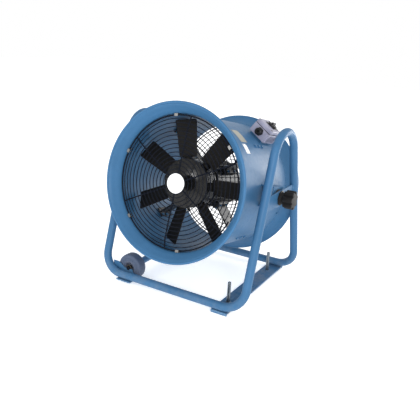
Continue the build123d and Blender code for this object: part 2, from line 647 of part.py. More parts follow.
# Switch box on the barrel: saddle, floor half, seal, lid, rotary switch and cable gland
BOX_CORNER_R = 6.0
SADDLE_HALF_WIDTH = 30.0
SCREW_INSET = 7.0
PILLAR_R = 5.0
BOX_SCREW_R = 2.0
BOX_SCREW_LENGTH = 30.0
SWITCH_PLATE = 46.0
SWITCH_PLATE_THICK = 2.0
SWITCH_Y = BOX_MIDDLE_Y + 14
SPINDLE_R = 4.0
SPINDLE_LENGTH = 12.0
DIAL_R = 19.0
DIAL_THICK = 6.0
DIAL_HEIGHT = 14.0
DIAL_RIDGE = 9.0
box_turn = outward(BOX_ANGLE)


def box_layer(r0, r1):
    """A slab of the box's rounded outline between two heights."""
    outline = fillet(Rectangle(BOX_WIDTH, BOX_LENGTH).vertices(), BOX_CORNER_R)
    return Pos(0, BOX_MIDDLE_Y, r0) * extrude(outline, r1 - r0)


def box_hollow(r0, r1):
    """The space inside the box's walls between two heights."""
    width = BOX_WIDTH - 2 * BOX_WALL
    length = BOX_LENGTH - 2 * BOX_WALL
    outline = fillet(Rectangle(width, length).vertices(), BOX_CORNER_R - BOX_WALL)
    return Pos(0, BOX_MIDDLE_Y, r0) * extrude(outline, r1 - r0)


screw_spots = [
    (i * (BOX_WIDTH / 2 - SCREW_INSET), BOX_MIDDLE_Y + j * (BOX_LENGTH / 2 - SCREW_INSET))
    for i in (-1, 1) for j in (-1, 1)
]
lead_hole = Pos(0, BOX_MIDDLE_Y, BOX_FLOOR_R) * Cylinder(LEAD_HOLE_R, 30)
saddle = Pos(0, BOX_MIDDLE_Y, (BORE_R + BOX_FLOOR_R) / 2) * Box(
    2 * SADDLE_HALF_WIDTH, BOX_LENGTH - 20, BOX_FLOOR_R - BORE_R,
)
saddle = box_turn * (saddle - lead_hole) - along_y(WALL_R, BOX_FRONT_Y, BOX_FRONT_Y + BOX_LENGTH)
save_tilted("box_saddle", saddle)
LID_BOTTOM_R = BOX_SEAM_R + SEAL_THICK
box_base = box_layer(BOX_FLOOR_R, BOX_SEAM_R) - lead_hole
box_base -= box_hollow(BOX_FLOOR_R + BOX_WALL, BOX_SEAM_R + 1)
box_lid = box_layer(LID_BOTTOM_R, BOX_TOP_R) - box_hollow(BOX_SEAM_R, BOX_TOP_R - BOX_WALL)
box_seal = box_layer(BOX_SEAM_R, LID_BOTTOM_R) - box_hollow(BOX_SEAM_R - 1, LID_BOTTOM_R + 1)


def pillar(x, y, r0, r1):
    """A screw pillar between two heights of the box."""
    return Pos(x, y, (r0 + r1) / 2) * Cylinder(PILLAR_R, r1 - r0)


box_screws = []
for x, y in screw_spots:
    screw = Pos(x, y, BOX_TOP_R - BOX_SCREW_LENGTH / 2) * Cylinder(BOX_SCREW_R, BOX_SCREW_LENGTH)
    screw += Pos(x, y, BOX_TOP_R + BOX_SCREW_R / 2) * Cylinder(2 * BOX_SCREW_R, BOX_SCREW_R)
    box_base = box_base + pillar(x, y, BOX_FLOOR_R, BOX_SEAM_R) - screw
    box_lid = box_lid + pillar(x, y, LID_BOTTOM_R, BOX_TOP_R) - screw
    box_seal = box_seal + pillar(x, y, BOX_SEAM_R, LID_BOTTOM_R) - screw
    box_screws.append(box_turn * screw)
GLAND_THREAD_R = 11.0
GLAND_NUT_LENGTH = 8.0
GLAND_CAP_R = 14.0
GLAND_LENGTH = 20.0
gland_place = Pos(0, BOX_FRONT_Y, (BOX_FLOOR_R + BOX_SEAM_R) / 2 + 2)
gland_thread = gland_place * along_y(GLAND_THREAD_R, -1, BOX_WALL + 5)
box_base -= gland_thread
switch_place = Pos(0, SWITCH_Y, BOX_TOP_R)
spindle_hole = switch_place * Cylinder(SPINDLE_R, 4 * BOX_WALL)
box_lid -= spindle_hole
save_tilted("switch_box", box_turn * box_base)
save_tilted("switch_box_lid", box_turn * box_lid)
save_tilted("switch_box_seal", box_turn * box_seal)
save_tilted("switch_box_screws", *box_screws)

gland_nut = Rot(90, 0, 0) * extrude(RegularPolygon(GLAND_R, 6), GLAND_NUT_LENGTH)
gland = gland_thread + gland_place * gland_nut
gland += gland_place * along_y(GLAND_CAP_R, -GLAND_LENGTH, 1 - GLAND_NUT_LENGTH)
gland = chamfer(gland.faces().sort_by(Axis.Y)[0].edges(), 3)
gland -= gland_place * along_y(GLAND_BORE_R, -GLAND_LENGTH - 1, GLAND_LENGTH)
save_tilted("cable_gland", box_turn * gland)

plate = Pos(0, 0, SWITCH_PLATE_THICK / 2) * Box(SWITCH_PLATE, SWITCH_PLATE, SWITCH_PLATE_THICK)
plate = switch_place * plate
spindle = switch_place * Cylinder(SPINDLE_R, 2 * SPINDLE_LENGTH)
save_tilted("switch_plate", box_turn * (plate - spindle))
save_tilted("switch_spindle", box_turn * spindle)
dial_base = SWITCH_PLATE_THICK + KNOB_GAP
dial = Pos(0, 0, dial_base + DIAL_THICK / 2) * Cylinder(DIAL_R, DIAL_THICK)
dial += Pos(0, 0, dial_base + DIAL_HEIGHT / 2) * Box(DIAL_RIDGE, 2 * DIAL_R - 3, DIAL_HEIGHT)
dial -= Cylinder(SPINDLE_R + RUNNING_GAP, 2 * SPINDLE_LENGTH + 1)
save_tilted("switch_knob", box_turn * switch_place * dial)

# Blank plates riveted to the barrel
PLATE_LIFT = 0.05
PLATE_SKIN = 0.8


def curved_plate(y0, y1, angle0, angle1):
    """A thin blank plate that follows the barrel between two angles."""
    strip = Pos(WALL_R + PLATE_LIFT + PLATE_SKIN / 2, (y0 + y1) / 2) * Rectangle(PLATE_SKIN, y1 - y0)
    return Rot(0, -angle0, 0) * revolve(strip, Axis.Y, revolution_arc=-(angle1 - angle0))


save_tilted("data_plate", curved_plate(-118, -66, 46, 60))
save_tilted("small_plate", curved_plate(-121, -92, 35, 44))
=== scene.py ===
import json
import math
import random

import bmesh
import bpy
import numpy as np
from mathutils import Matrix, Vector, noise


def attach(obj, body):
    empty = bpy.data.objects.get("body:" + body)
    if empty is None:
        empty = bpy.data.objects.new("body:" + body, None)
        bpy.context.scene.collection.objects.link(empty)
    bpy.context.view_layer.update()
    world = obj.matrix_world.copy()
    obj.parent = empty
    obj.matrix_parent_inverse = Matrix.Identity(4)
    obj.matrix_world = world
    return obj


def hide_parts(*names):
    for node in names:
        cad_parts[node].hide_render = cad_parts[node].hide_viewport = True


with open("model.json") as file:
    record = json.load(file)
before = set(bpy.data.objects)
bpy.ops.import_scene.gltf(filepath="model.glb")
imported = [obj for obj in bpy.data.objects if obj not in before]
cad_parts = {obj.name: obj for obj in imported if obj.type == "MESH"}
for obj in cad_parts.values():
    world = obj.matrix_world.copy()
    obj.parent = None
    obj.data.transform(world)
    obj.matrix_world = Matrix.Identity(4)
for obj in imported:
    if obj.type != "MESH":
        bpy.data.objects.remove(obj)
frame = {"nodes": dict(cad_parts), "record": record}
bpy.context.view_layer.update()
NODES = frame["nodes"]
RECORD_SLOTS = {part["node"]: part["material_slot"] for part in frame["record"]["subparts"]}
MM = 0.001

# Sizes that the frame was made with, in millimetres
TILT, PIVOT_Z = 11.0, 395.0
TUBE_R, HALF_WIDTH, HALF_BASE, TUBE_Z = 16.0, 311.0, 249.0, 29.0
LEG_LEAN, CORNER_R, TOP_BEND_R = math.radians(16.2), 80.0, 96.0
BORE_R, SHEET, RIM_R, BEAD_R, RIM_Y = 250.0, 2.0, 290.0, 5.0, 265.0
FRONT_FLARE, REAR_FLARE = 42.0, 55.0
WALL_R = BORE_R + SHEET
WHEEL_X, WHEEL_R, WHEEL_Y0, WHEEL_Y1 = -205.0, 53.0, 184.0, 226.0
PEG_X, PEG_Y, PLATE_X = 219.0, 177.0, 224.5
IMPELLER_Y, HUB_R, HUB_INNER_R, HUB_LENGTH = -130.0, 92.0, 78.0, 68.0

CASING = Matrix.Translation((0, 0, PIVOT_Z * MM)) @ Matrix.Rotation(math.radians(-TILT), 4, "X")
ROW = Matrix.Identity(4)


def outward(angle):
    """Turns +Z to point outward from the casing axis, at an angle up from +X."""
    return Matrix.Rotation(math.radians(90 - angle), 4, "Y")


def shift(x, y, z):
    """A move in millimetres, inside a shape."""
    return Matrix.Translation((x, y, z))


# ---------------------------------------------------------------- camera, world and lights
CAMERA_PLACE = (0.9921, -1.7726, 0.9461)
CAMERA_AZIMUTH, CAMERA_PITCH, CAMERA_ROLL = (math.radians(v) for v in (28.71, 18.10, 3.55))
CAMERA_LENS, CAMERA_SENSOR = 45.455, 36.0

ahead = Vector((
    -math.sin(CAMERA_AZIMUTH) * math.cos(CAMERA_PITCH),
    math.cos(CAMERA_AZIMUTH) * math.cos(CAMERA_PITCH),
    -math.sin(CAMERA_PITCH),
))
level_right = Vector((math.cos(CAMERA_AZIMUTH), math.sin(CAMERA_AZIMUTH), 0))
level_up = level_right.cross(ahead)
right = math.cos(CAMERA_ROLL) * level_right + math.sin(CAMERA_ROLL) * level_up
up = math.cos(CAMERA_ROLL) * level_up - math.sin(CAMERA_ROLL) * level_right
camera_data = bpy.data.cameras.new("camera")
camera_data.lens, camera_data.sensor_width = CAMERA_LENS, CAMERA_SENSOR
camera_data.clip_start, camera_data.clip_end = 0.05, 60.0
camera = bpy.data.objects.new("camera", camera_data)
bpy.context.scene.collection.objects.link(camera)
camera.matrix_world = Matrix.Translation(CAMERA_PLACE) @ Matrix((right, up, -ahead)).transposed().to_4x4()
bpy.context.scene.camera = camera
bpy.context.scene.view_settings.view_transform = "Standard"

world = bpy.data.worlds.new("studio")
bpy.context.scene.world = world
world.use_nodes = True
world.node_tree.nodes["Background"].inputs["Color"].default_value = (1.0, 1.0, 1.0, 1)
world.node_tree.nodes["Background"].inputs["Strength"].default_value = 1.0


def softbox(name, place, target, size, power, tint=(1, 1, 1)):
    """A square studio light aimed at a point."""
    data = bpy.data.lights.new(name, "AREA")
    data.shape, data.size, data.energy, data.color = "SQUARE", size, power, tint
    light = bpy.data.objects.new(name, data)
    bpy.context.scene.collection.objects.link(light)
    light.location = place
    light.rotation_euler = (Vector(target) - Vector(place)).to_track_quat("-Z", "Y").to_euler()


softbox("key", (1.75, -2.6, 1.25), (-0.1, -0.1, 0.38), 0.9, 44)
softbox("hub_glint", (-0.77, -2.4, 1.1), (0, -0.1, 0.42), 0.3, 9)
softbox("through_barrel", (1.2, 3.0, 0.35), (-0.15, 0, 0.4), 1.7, 62)


# ---------------------------------------------------------------- materials
def new_material(name):
    material = bpy.data.materials.new(name)
    material.use_nodes = True
    return material, material.node_tree.nodes, material.node_tree.links


def noise_node(nodes, links, coordinates, scale, detail=3.0, rough=0.55, stretch=None):
    """Fractal noise over the object's own coordinates, in cycles per metre."""
    texture = nodes.new("ShaderNodeTexNoise")
    texture.inputs["Scale"].default_value = scale
    texture.inputs["Detail"].default_value = detail
    texture.inputs["Roughness"].default_value = rough
    if stretch:
        mapping = nodes.new("ShaderNodeMapping")
        mapping.inputs["Scale"].default_value = stretch
        links.new(coordinates, mapping.inputs["Vector"])
        coordinates = mapping.outputs["Vector"]
    links.new(coordinates, texture.inputs["Vector"])
    return texture.outputs["Fac"]


def remap(nodes, links, value, low, high, to_low=0.0, to_high=1.0):
    node = nodes.new("ShaderNodeMapRange")
    for socket, number in zip(("From Min", "From Max", "To Min", "To Max"), (low, high, to_low, to_high)):
        node.inputs[socket].default_value = number
    links.new(value, node.inputs["Value"])
    return node.outputs["Result"]


def times(nodes, links, a, b):
    node = nodes.new("ShaderNodeMath")
    node.operation = "MULTIPLY"
    links.new(a, node.inputs[0])
    if isinstance(b, float):
        node.inputs[1].default_value = b
    else:
        links.new(b, node.inputs[1])
    return node.outputs[0]


def blend_colour(nodes, links, factor, a, b):
    """Mixes two colours, either of which may be a socket."""
    node = nodes.new("ShaderNodeMix")
    node.data_type = "RGBA"
    links.new(factor, node.inputs["Factor"])
    for socket, colour in ((node.inputs[6], a), (node.inputs[7], b)):
        if isinstance(colour, bpy.types.NodeSocket):
            links.new(colour, socket)
        else:
            socket.default_value = (*colour, 1)
    return node.outputs[2]


def finish(
    name, colour, shade, roughness, metallic=0.0, specular=0.5, coat=0.0, patch=7.0, grain=900.0,
    grain_depth=0.00004, rough_spread=0.08, wear=None, wear_from=0.53, dust=None, dust_height=0.0,
    brushed=None, scratches=0.0,
):
    """A worn, uneven procedural finish: patchy colour, fine grain, rubbed edges, dust and scratches."""
    material, nodes, links = new_material(name)
    shader = nodes["Principled BSDF"]
    shader.inputs["Metallic"].default_value = metallic
    shader.inputs["Specular IOR Level"].default_value = specular
    shader.inputs["Coat Weight"].default_value = coat
    shader.inputs["Coat Roughness"].default_value = 0.12
    place = nodes.new("ShaderNodeTexCoord").outputs["Object"]
    broad = noise_node(nodes, links, place, patch, 4.0)
    fine = noise_node(nodes, links, place, patch * 14, 5.0, 0.65)
    colour_now = blend_colour(nodes, links, remap(nodes, links, broad, 0.3, 0.7), colour, shade)
    speckle = [c * 0.82 for c in shade]
    colour_now = blend_colour(nodes, links, remap(nodes, links, fine, 0.52, 0.9, 0.0, 0.55), colour_now, speckle)
    rough_now = remap(nodes, links, fine, 0.25, 0.75, roughness - rough_spread / 2, roughness + rough_spread)
    if scratches:
        streak = noise_node(nodes, links, place, 60.0, 6.0, 0.75, (1.0, 9.0, 0.7))
        mark = remap(nodes, links, streak, 0.63, 0.72, 0.0, scratches)
        colour_now = blend_colour(nodes, links, mark, colour_now, [min(1, c * 1.5 + 0.03) for c in colour])
    if wear:
        pointed = nodes.new("ShaderNodeNewGeometry").outputs["Pointiness"]
        edge = remap(nodes, links, pointed, wear_from, wear_from + 0.05)
        broken = remap(nodes, links, noise_node(nodes, links, place, 130.0, 5.0, 0.7), 0.46, 0.62)
        colour_now = blend_colour(nodes, links, times(nodes, links, edge, broken), colour_now, wear)
    if dust:
        split = nodes.new("ShaderNodeSeparateXYZ")
        links.new(place, split.inputs[0])
        low = remap(nodes, links, split.outputs["Z"], 0.0, dust_height, 0.35, 0.0)
        lying = remap(nodes, links, noise_node(nodes, links, place, 28.0, 6.0, 0.7), 0.4, 0.75)
        colour_now = blend_colour(nodes, links, times(nodes, links, low, lying), colour_now, dust)
    links.new(colour_now, shader.inputs["Base Color"])
    links.new(rough_now, shader.inputs["Roughness"])
    height = noise_node(nodes, links, place, grain, 2.0, 0.5, brushed)
    bump = nodes.new("ShaderNodeBump")
    bump.inputs["Strength"].default_value = 0.6
    bump.inputs["Distance"].default_value = grain_depth
    links.new(height, bump.inputs["Height"])
    links.new(bump.outputs["Normal"], shader.inputs["Normal"])
    return material


RUBBED_BLUE = (0.13, 0.25, 0.40)
GREY_DUST = (0.30, 0.30, 0.28)
MATERIALS = {
    "casing_blue": finish(
        "casing_blue_paint", (0.046, 0.142, 0.280), (0.038, 0.120, 0.238), 0.38, specular=0.14, patch=5.0,
        wear=RUBBED_BLUE, scratches=0.10, rough_spread=0.10,
    ),
    "cradle_blue": finish(
        "cradle_blue_paint", (0.044, 0.136, 0.272), (0.036, 0.115, 0.228), 0.40, specular=0.18, patch=6.0,
        wear=RUBBED_BLUE, dust=GREY_DUST, dust_height=0.10, scratches=0.14, rough_spread=0.10,
    ),
    "wire_black": finish(
        "guard_wire_coating", (0.004, 0.006, 0.012), (0.006, 0.008, 0.014), 0.55, specular=0.06, patch=20.0,
        wear=(0.02, 0.02, 0.025), grain=1500.0,
    ),
    "blade_black": finish(
        "blade_nylon", (0.0052, 0.0050, 0.0048), (0.0085, 0.0080, 0.0075), 0.46, specular=0.10, patch=9.0,
        grain=1100.0, grain_depth=0.00007, wear=(0.018, 0.017, 0.015), scratches=0.25,
    ),
    "hub_black": finish(
        "hub_paint", (0.0045, 0.0045, 0.0045), (0.008, 0.008, 0.008), 0.20, specular=0.35, patch=12.0,
        wear=(0.03, 0.03, 0.03),
    ),
    "motor_black": finish(
        "motor_paint", (0.008, 0.009, 0.010), (0.014, 0.015, 0.017), 0.36, specular=0.3, patch=10.0,
        grain=700.0, grain_depth=0.00010, wear=(0.07, 0.07, 0.07),
    ),
    "knob_black": finish(
        "knob_moulding", (0.009, 0.0085, 0.0085), (0.014, 0.013, 0.013), 0.46, specular=0.12, patch=25.0,
        grain=1400.0, grain_depth=0.00006, wear=(0.04, 0.034, 0.03),
    ),
    "dial_black": finish(
        "dial_moulding", (0.008, 0.008, 0.010), (0.013, 0.013, 0.015), 0.28, specular=0.3, patch=30.0,
        wear=(0.05, 0.05, 0.05),
    ),
    "zinc": finish(
        "zinc_plate", (0.27, 0.27, 0.26), (0.17, 0.17, 0.17), 0.36, metallic=0.95, patch=40.0,
        rough_spread=0.16, grain=1200.0,
    ),
    "bar_steel": finish(
        "turned_steel", (0.45, 0.46, 0.47), (0.33, 0.34, 0.35), 0.30, metallic=1.0, patch=18.0,
        brushed=(0.15, 6.0, 0.15), rough_spread=0.12,
    ),
    "peg_steel": finish(
        "peg_bar_steel", (0.20, 0.23, 0.25), (0.11, 0.13, 0.15), 0.22, metallic=0.9, patch=26.0,
        brushed=(6.0, 6.0, 0.2), rough_spread=0.14,
    ),
    "rubber_black": finish(
        "foot_rubber", (0.018, 0.018, 0.018), (0.028, 0.027, 0.026), 0.72, specular=0.25, patch=22.0,
        grain=1600.0, grain_depth=0.0001, dust=GREY_DUST, dust_height=0.02,
    ),
    "wheel_grey": finish(
        "tyre_rubber", (0.080, 0.105, 0.165), (0.062, 0.084, 0.135), 0.55, specular=0.2, patch=16.0,
        grain=1300.0, grain_depth=0.0001, wear=(0.22, 0.25, 0.31), dust=GREY_DUST, dust_height=0.07,
    ),
    "wheel_hub": finish(
        "wheel_hub_moulding", (0.085, 0.100, 0.150), (0.060, 0.075, 0.110), 0.45, specular=0.2, patch=30.0,
        wear=(0.14, 0.16, 0.20),
    ),
    "box_grey": finish(
        "box_moulding", (0.34, 0.34, 0.45), (0.20, 0.20, 0.27), 0.34, specular=0.35, patch=26.0,
        grain=1500.0, grain_depth=0.00006,
    ),
    "label_white": finish(
        "white_label", (0.90, 0.90, 0.89), (0.84, 0.84, 0.84), 0.35, specular=0.3, patch=20.0, grain=600.0,
    ),
    "label_beige": finish(
        "beige_label", (0.36, 0.34, 0.27), (0.27, 0.28, 0.26), 0.38, specular=0.35, patch=30.0, grain=600.0,
    ),
    "laminations": finish(
        "laminated_steel", (0.16, 0.155, 0.15), (0.10, 0.095, 0.09), 0.45, metallic=0.7, patch=20.0,
        brushed=(0.3, 3.0, 0.3), grain=1500.0, grain_depth=0.0001,
    ),
    "fibre": finish(
        "friction_fibre", (0.050, 0.044, 0.038), (0.034, 0.030, 0.026), 0.8, specular=0.2, patch=60.0,
        grain=1100.0, grain_depth=0.00012,
    ),
}


# ---------------------------------------------------------------- shapes
class Shape:
    """Points and faces, in millimetres, gathered before they become one piece."""

    def __init__(self):
        self.points, self.faces, self.parts = [], [], []

    def add(self, made, place=ROW, part=0):
        points, faces = made
        start = len(self.points)
        self.points += [place @ Vector(p) for p in points]
        self.faces += [tuple(start + i for i in face) for face in faces]
        self.parts += [part] * len(faces)
        return self


def loft(rings, closed=False, caps=True):
    """Skin over rings of the same number of points; closed joins the last ring to the first."""
    count = len(rings[0])
    points = [p for ring in rings for p in ring]
    faces = []
    pairs = [(i, i + 1) for i in range(len(rings) - 1)]
    if closed:
        pairs.append((len(rings) - 1, 0))
    for a, b in pairs:
        for k in range(count):
            m = (k + 1) % count
            faces.append((a * count + k, a * count + m, b * count + m, b * count + k))
    if caps and not closed:
        faces.append(tuple(reversed(range(count))))
        faces.append(tuple(range((len(rings) - 1) * count, len(rings) * count)))
    return points, faces


def lathe(profile, steps=96, closed=True):
    """Spins (radius, height) pairs about +Z. A closed profile makes a ring; an open one starts and ends on the axis."""
    angles = [2 * math.pi * k / steps for k in range(steps)]
    rings = [[(r * math.cos(a), r * math.sin(a), z) for a in angles] for r, z in profile]
    return loft(rings, closed=closed, caps=not closed)


ALONG_Y = Matrix.Rotation(math.radians(-90), 4, "X")
ALONG_X = Matrix.Rotation(math.radians(90), 4, "Y")


def sweep(path, radius, sides=12, closed=False, ripple=0.0, flatten=1.0):
    """A round bar along points. A ripple makes the scalloped look of a weld bead."""
    path = [Vector(p) for p in path]
    count = len(path)
    tangents = []
    for i in range(count):
        before = path[i - 1] if (i > 0 or closed) else path[i]
        after = path[(i + 1) % count] if (i < count - 1 or closed) else path[i]
        tangents.append((after - before).normalized())
    side = tangents[0].orthogonal().normalized()
    sides_at = []
    for t in tangents:
        side = (side - side.dot(t) * t).normalized()
        sides_at.append(side.copy())
    twist = 0.0
    if closed:
        last = sides_at[-1] - sides_at[-1].dot(tangents[0]) * tangents[0]
        first = sides_at[0]
        twist = math.atan2(tangents[0].dot(last.cross(first)), last.dot(first))
    rings = []
    for i, (p, t, s) in enumerate(zip(path, tangents, sides_at)):
        turn = twist * i / count
        across = t.cross(s)
        here = radius * (1 + ripple * math.sin(2.1 * i))
        ring = []
        for k in range(sides):
            a = 2 * math.pi * k / sides + turn
            ring.append(p + here * (math.cos(a) * s + flatten * math.sin(a) * across))
        rings.append(ring)
    return loft(rings, closed=closed, caps=not closed)


def circle(radius, height, steps):
    """Points round a circle about +Z."""
    return [
        (radius * math.cos(2 * math.pi * k / steps), radius * math.sin(2 * math.pi * k / steps), height)
        for k in range(steps)
    ]


def arc(centre, radius, start, stop, steps):
    """Points (r, z) of an arc in a profile; angles in degrees."""
    return [
        (
            centre[0] + radius * math.cos(math.radians(start + (stop - start) * k / steps)),
            centre[1] + radius * math.sin(math.radians(start + (stop - start) * k / steps)),
        )
        for k in range(steps + 1)
    ]


def rounded_profile(r0, r1, z0, z1, edge, steps=4):
    """A ring's section with rounded corners, as (radius, height) pairs."""
    return (
        arc((r1 - edge, z0 + edge), edge, -90, 0, steps) + arc((r1 - edge, z1 - edge), edge, 0, 90, steps)
        + arc((r0 + edge, z1 - edge), edge, 90, 180, steps) + arc((r0 + edge, z0 + edge), edge, 180, 270, steps)
    )


def disc_profile(r1, z0, z1, edge, steps=4, dome=0.0):
    """An open profile of a solid disc with rounded rims, its top domed a little."""
    low = [(0.001, z0)] + arc((r1 - edge, z0 + edge), edge, -90, 0, steps)
    high = arc((r1 - edge, z1 - edge), edge, 0, 90, steps)
    top = [((r1 - edge) * (1 - k / 5), z1 + dome * (1 - (1 - k / 5) ** 2)) for k in range(1, 5)]
    return low + high + top + [(0.001, z1 + dome)]


def box_outline(half_x, half_y, corner, steps=5):
    """A rectangle with rounded corners."""
    corner = max(corner, 0.05)
    points = []
    for (sx, sy), start in zip(((1, 1), (-1, 1), (-1, -1), (1, -1)), (0, 90, 180, 270)):
        centre = (sx * (half_x - corner), sy * (half_y - corner))
        points += arc(centre, corner, start, start + 90, steps)
    return points


def slab(half_x, half_y, corner, z0, z1, edge, steps=3):
    """A rounded box standing on z0, with rounded top and bottom rims."""
    levels = [(z0 + edge * (1 - math.cos(math.radians(a))), edge * (1 - math.sin(math.radians(a))))
              for a in np.linspace(0, 90, steps + 1)]
    levels += [(z1 - edge * (1 - math.sin(math.radians(a))), edge * (1 - math.cos(math.radians(a))))
               for a in np.linspace(0, 90, steps + 1)]
    rings = [
        [(x, y, z) for x, y in box_outline(half_x - inset, half_y - inset, corner - inset)]
        for z, inset in levels
    ]
    return loft(rings)


def hexagon_head(across, height, chamfered=0.8):
    """A hexagonal head or nut standing on z = 0, its top corners turned off."""
    def ring(radius, z, round_share):
        points = []
        for k in range(36):
            a = 2 * math.pi * k / 36
            flat = across / 2 / math.cos((a % (math.pi / 3)) - math.pi / 6)
            points.append((a, min(flat, radius) if round_share else flat, z))
        return [(r * math.cos(a), r * math.sin(a), z) for a, r, z in points]
    corner = across / 2 / math.cos(math.pi / 6)
    return loft([
        ring(corner, 0, False), ring(corner, height - chamfered, False),
        ring(across / 2 + 0.1, height, True), ring(across / 2 - 0.6, height, True),
    ])


def piece(name, shape, body, slot, place=ROW, replaces=(), sharp=32.0):
    """Makes a piece of the object from a shape, in the row frame, riding on a body."""
    mesh = bpy.data.meshes.new(name)
    to_metres = place @ Matrix.Scale(MM, 4)
    mesh.from_pydata([to_metres @ p for p in shape.points], [], shape.faces)
    cleaner = bmesh.new()
    cleaner.from_mesh(mesh)
    bmesh.ops.remove_doubles(cleaner, verts=cleaner.verts, dist=0.000004)
    bmesh.ops.recalc_face_normals(cleaner, faces=cleaner.faces)
    cleaner.to_mesh(mesh)
    cleaner.free()
    mesh.polygons.foreach_set("use_smooth", [True] * len(mesh.polygons))
    mesh.set_sharp_from_angle(angle=math.radians(sharp))
    made = bpy.data.objects.new(name, mesh)
    bpy.context.scene.collection.objects.link(made)
    mesh.materials.append(MATERIALS[slot])
    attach(made, body)
    if replaces:
        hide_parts(*replaces)
    return made


def keep(node, soft=0.6):
    """Shows a CAD node with its finish, its edges rounded."""
    shown = NODES[node]
    mesh = shown.data
    mesh.materials.clear()
    mesh.materials.append(MATERIALS[RECORD_SLOTS[node]])
    if "custom_normal" in mesh.attributes:
        mesh.attributes.remove(mesh.attributes["custom_normal"])
    for name in ("sharp_edge", "sharp_face"):
        if name in mesh.attributes:
            mesh.attributes.remove(mesh.attributes[name])
    mesh.polygons.foreach_set("use_smooth", [True] * len(mesh.polygons))
    weld = shown.modifiers.new("weld", "WELD")
    weld.merge_threshold = 0.00001
    bevel = shown.modifiers.new("edges", "BEVEL")
    bevel.width, bevel.segments, bevel.limit_method = soft * MM, 2, "ANGLE"
    bevel.angle_limit = math.radians(30)
    bevel.harden_normals = True
    return shown


# ---------------------------------------------------------------- casing shell
random.seed(7)


def flare_points(end, depth, turn, inset, steps=14):
    """One flare's section from throat to bead, as (radius, axial) pairs; inset 0 is the air side."""
    rise = RIM_R - BEAD_R - BORE_R
    chord = math.atan2(rise, depth - BEAD_R)
    slope0, slope1 = chord - turn / 2, chord + turn / 2
    radius = rise / (math.cos(slope0) - math.cos(slope1))
    centre_r = BORE_R + radius * math.cos(slope0)
    centre_y = RIM_Y - depth - radius * math.sin(slope0)
    points = []
    for k in range(steps + 1):
        slope = slope0 + (slope1 - slope0) * k / steps
        spread = max(0.0, (k / steps - 0.45) / 0.55)
        reach = radius - inset if inset else radius + (BEAD_R - 0.08) * spread * spread * (3 - 2 * spread)
        points.append((centre_r - reach * math.cos(slope), end * (centre_y + reach * math.sin(slope))))
    return points, slope1


front_air, front_slope = flare_points(-1, FRONT_FLARE, math.radians(44), 0)
front_back, _ = flare_points(-1, FRONT_FLARE, math.radians(44), SHEET)
rear_air, rear_slope = flare_points(1, REAR_FLARE, math.radians(36), 0)
rear_back, _ = flare_points(1, REAR_FLARE, math.radians(36), SHEET)
front_throat, rear_throat = FRONT_FLARE - RIM_Y, RIM_Y - REAR_FLARE


FREE_SIDE, BEAD_SKIN_R = 96, BEAD_R - 0.08


def bead_arc(end, slope, steps=18):
    """The rolled bead, from where the air side runs onto it round to the sheet's back side."""
    centre = (RIM_R - BEAD_R, end * (RIM_Y - BEAD_R))
    back = math.degrees(math.atan2(-end * math.cos(slope), -math.sin(slope)))
    around = 1 if end > 0 else -1
    return arc(centre, BEAD_SKIN_R, back + around * FREE_SIDE, back + around * 346, steps)


barrel_inside = [(BORE_R, y) for y in np.linspace(front_throat, rear_throat, 26)[1:-1]]
barrel_outside = [(WALL_R, y) for y in np.linspace(rear_throat, front_throat, 26)[1:-1]]
rear_beads, front_beads = bead_arc(1, rear_slope), bead_arc(-1, front_slope)
section = (
    front_air[:-1][::-1] + barrel_inside + rear_air[:-1] + rear_beads[::-1] + rear_back[:-1][::-1]
    + barrel_outside + front_back[:-1] + front_beads[::-1]
)
shell_points, shell_faces = lathe(section, steps=216)
wavy = []
for p in shell_points:
    radius = math.hypot(p[0], p[1])
    give = 0.35 if radius < RIM_R - 2 * BEAD_R else 0.0
    swell = give * noise.noise(Vector(p) * 0.011)
    wavy.append((p[0] * (1 + swell / radius), p[1] * (1 + swell / radius), p[2]))
piece(
    "casing_skin", Shape().add((wavy, shell_faces), ALONG_Y), "casing", "casing_blue", CASING,
    replaces=["casing_shell"], sharp=40,
)


welds = Shape()
for ring_radius, ring_y in ((WALL_R + 0.6, front_throat + 3), (WALL_R + 0.6, rear_throat - 3)):
    welds.add(sweep(circle(ring_radius, ring_y, 300), 1.5, sides=8, closed=True, ripple=0.05, flatten=0.6), ALONG_Y)
seam_angle = 251.0
seam = [(0, y, WALL_R + 0.2) for y in np.arange(front_throat + 4, rear_throat - 4, 1.6)]
welds.add(sweep(seam, 2.2, sides=8, ripple=0.10, flatten=0.45), outward(seam_angle))
inside_seam = [(0, y, BORE_R - 0.1) for y in np.arange(front_throat + 4, rear_throat - 4, 1.6)]
welds.add(sweep(inside_seam, 1.6, sides=8, ripple=0.08, flatten=0.45), outward(seam_angle))
for side in (-1, 1):
    for height in (-40, 40):
        line = [
            (side * (math.sqrt(WALL_R ** 2 - height ** 2) + 0.8), y, height + math.copysign(0.8, height))
            for y in np.arange(-44, 44, 1.7)
        ]
        welds.add(sweep(line, 2.0, sides=8, ripple=0.14))
saddle_edge = math.degrees(math.asin(30 / WALL_R))
for step in (-1, 1):
    line = [(0, y, WALL_R + 0.6) for y in np.arange(73, 154, 1.7)]
    welds.add(sweep(line, 1.8, sides=8, ripple=0.14), outward(55 + step * (saddle_edge + 0.3)))
piece("casing_welds", welds, "casing", "casing_blue", CASING, sharp=80)


# ---------------------------------------------------------------- guards
RING_RADII = [52 + 15 * i for i in range(13)]
GUARD_CENTRES = {"front": (-1, -233.0), "rear": (1, 224.0)}
OUTER_RING_R, OUTER_WIRE_R, WIRE_R, SPOKE_R = 244.0, 2.5, 1.5, 2.5
WIRE_GAP, DISH_START_R, DISH_SLOPE = 0.2, 205.0, 0.25
SPOKE_ANGLES = [26 + 60 * i for i in range(6)]
CLIP_ANGLES = [40 + 60 * i for i in range(6)]


def guard_height(middle, end, radius):
    return middle - end * DISH_SLOPE * max(0.0, radius - DISH_START_R)


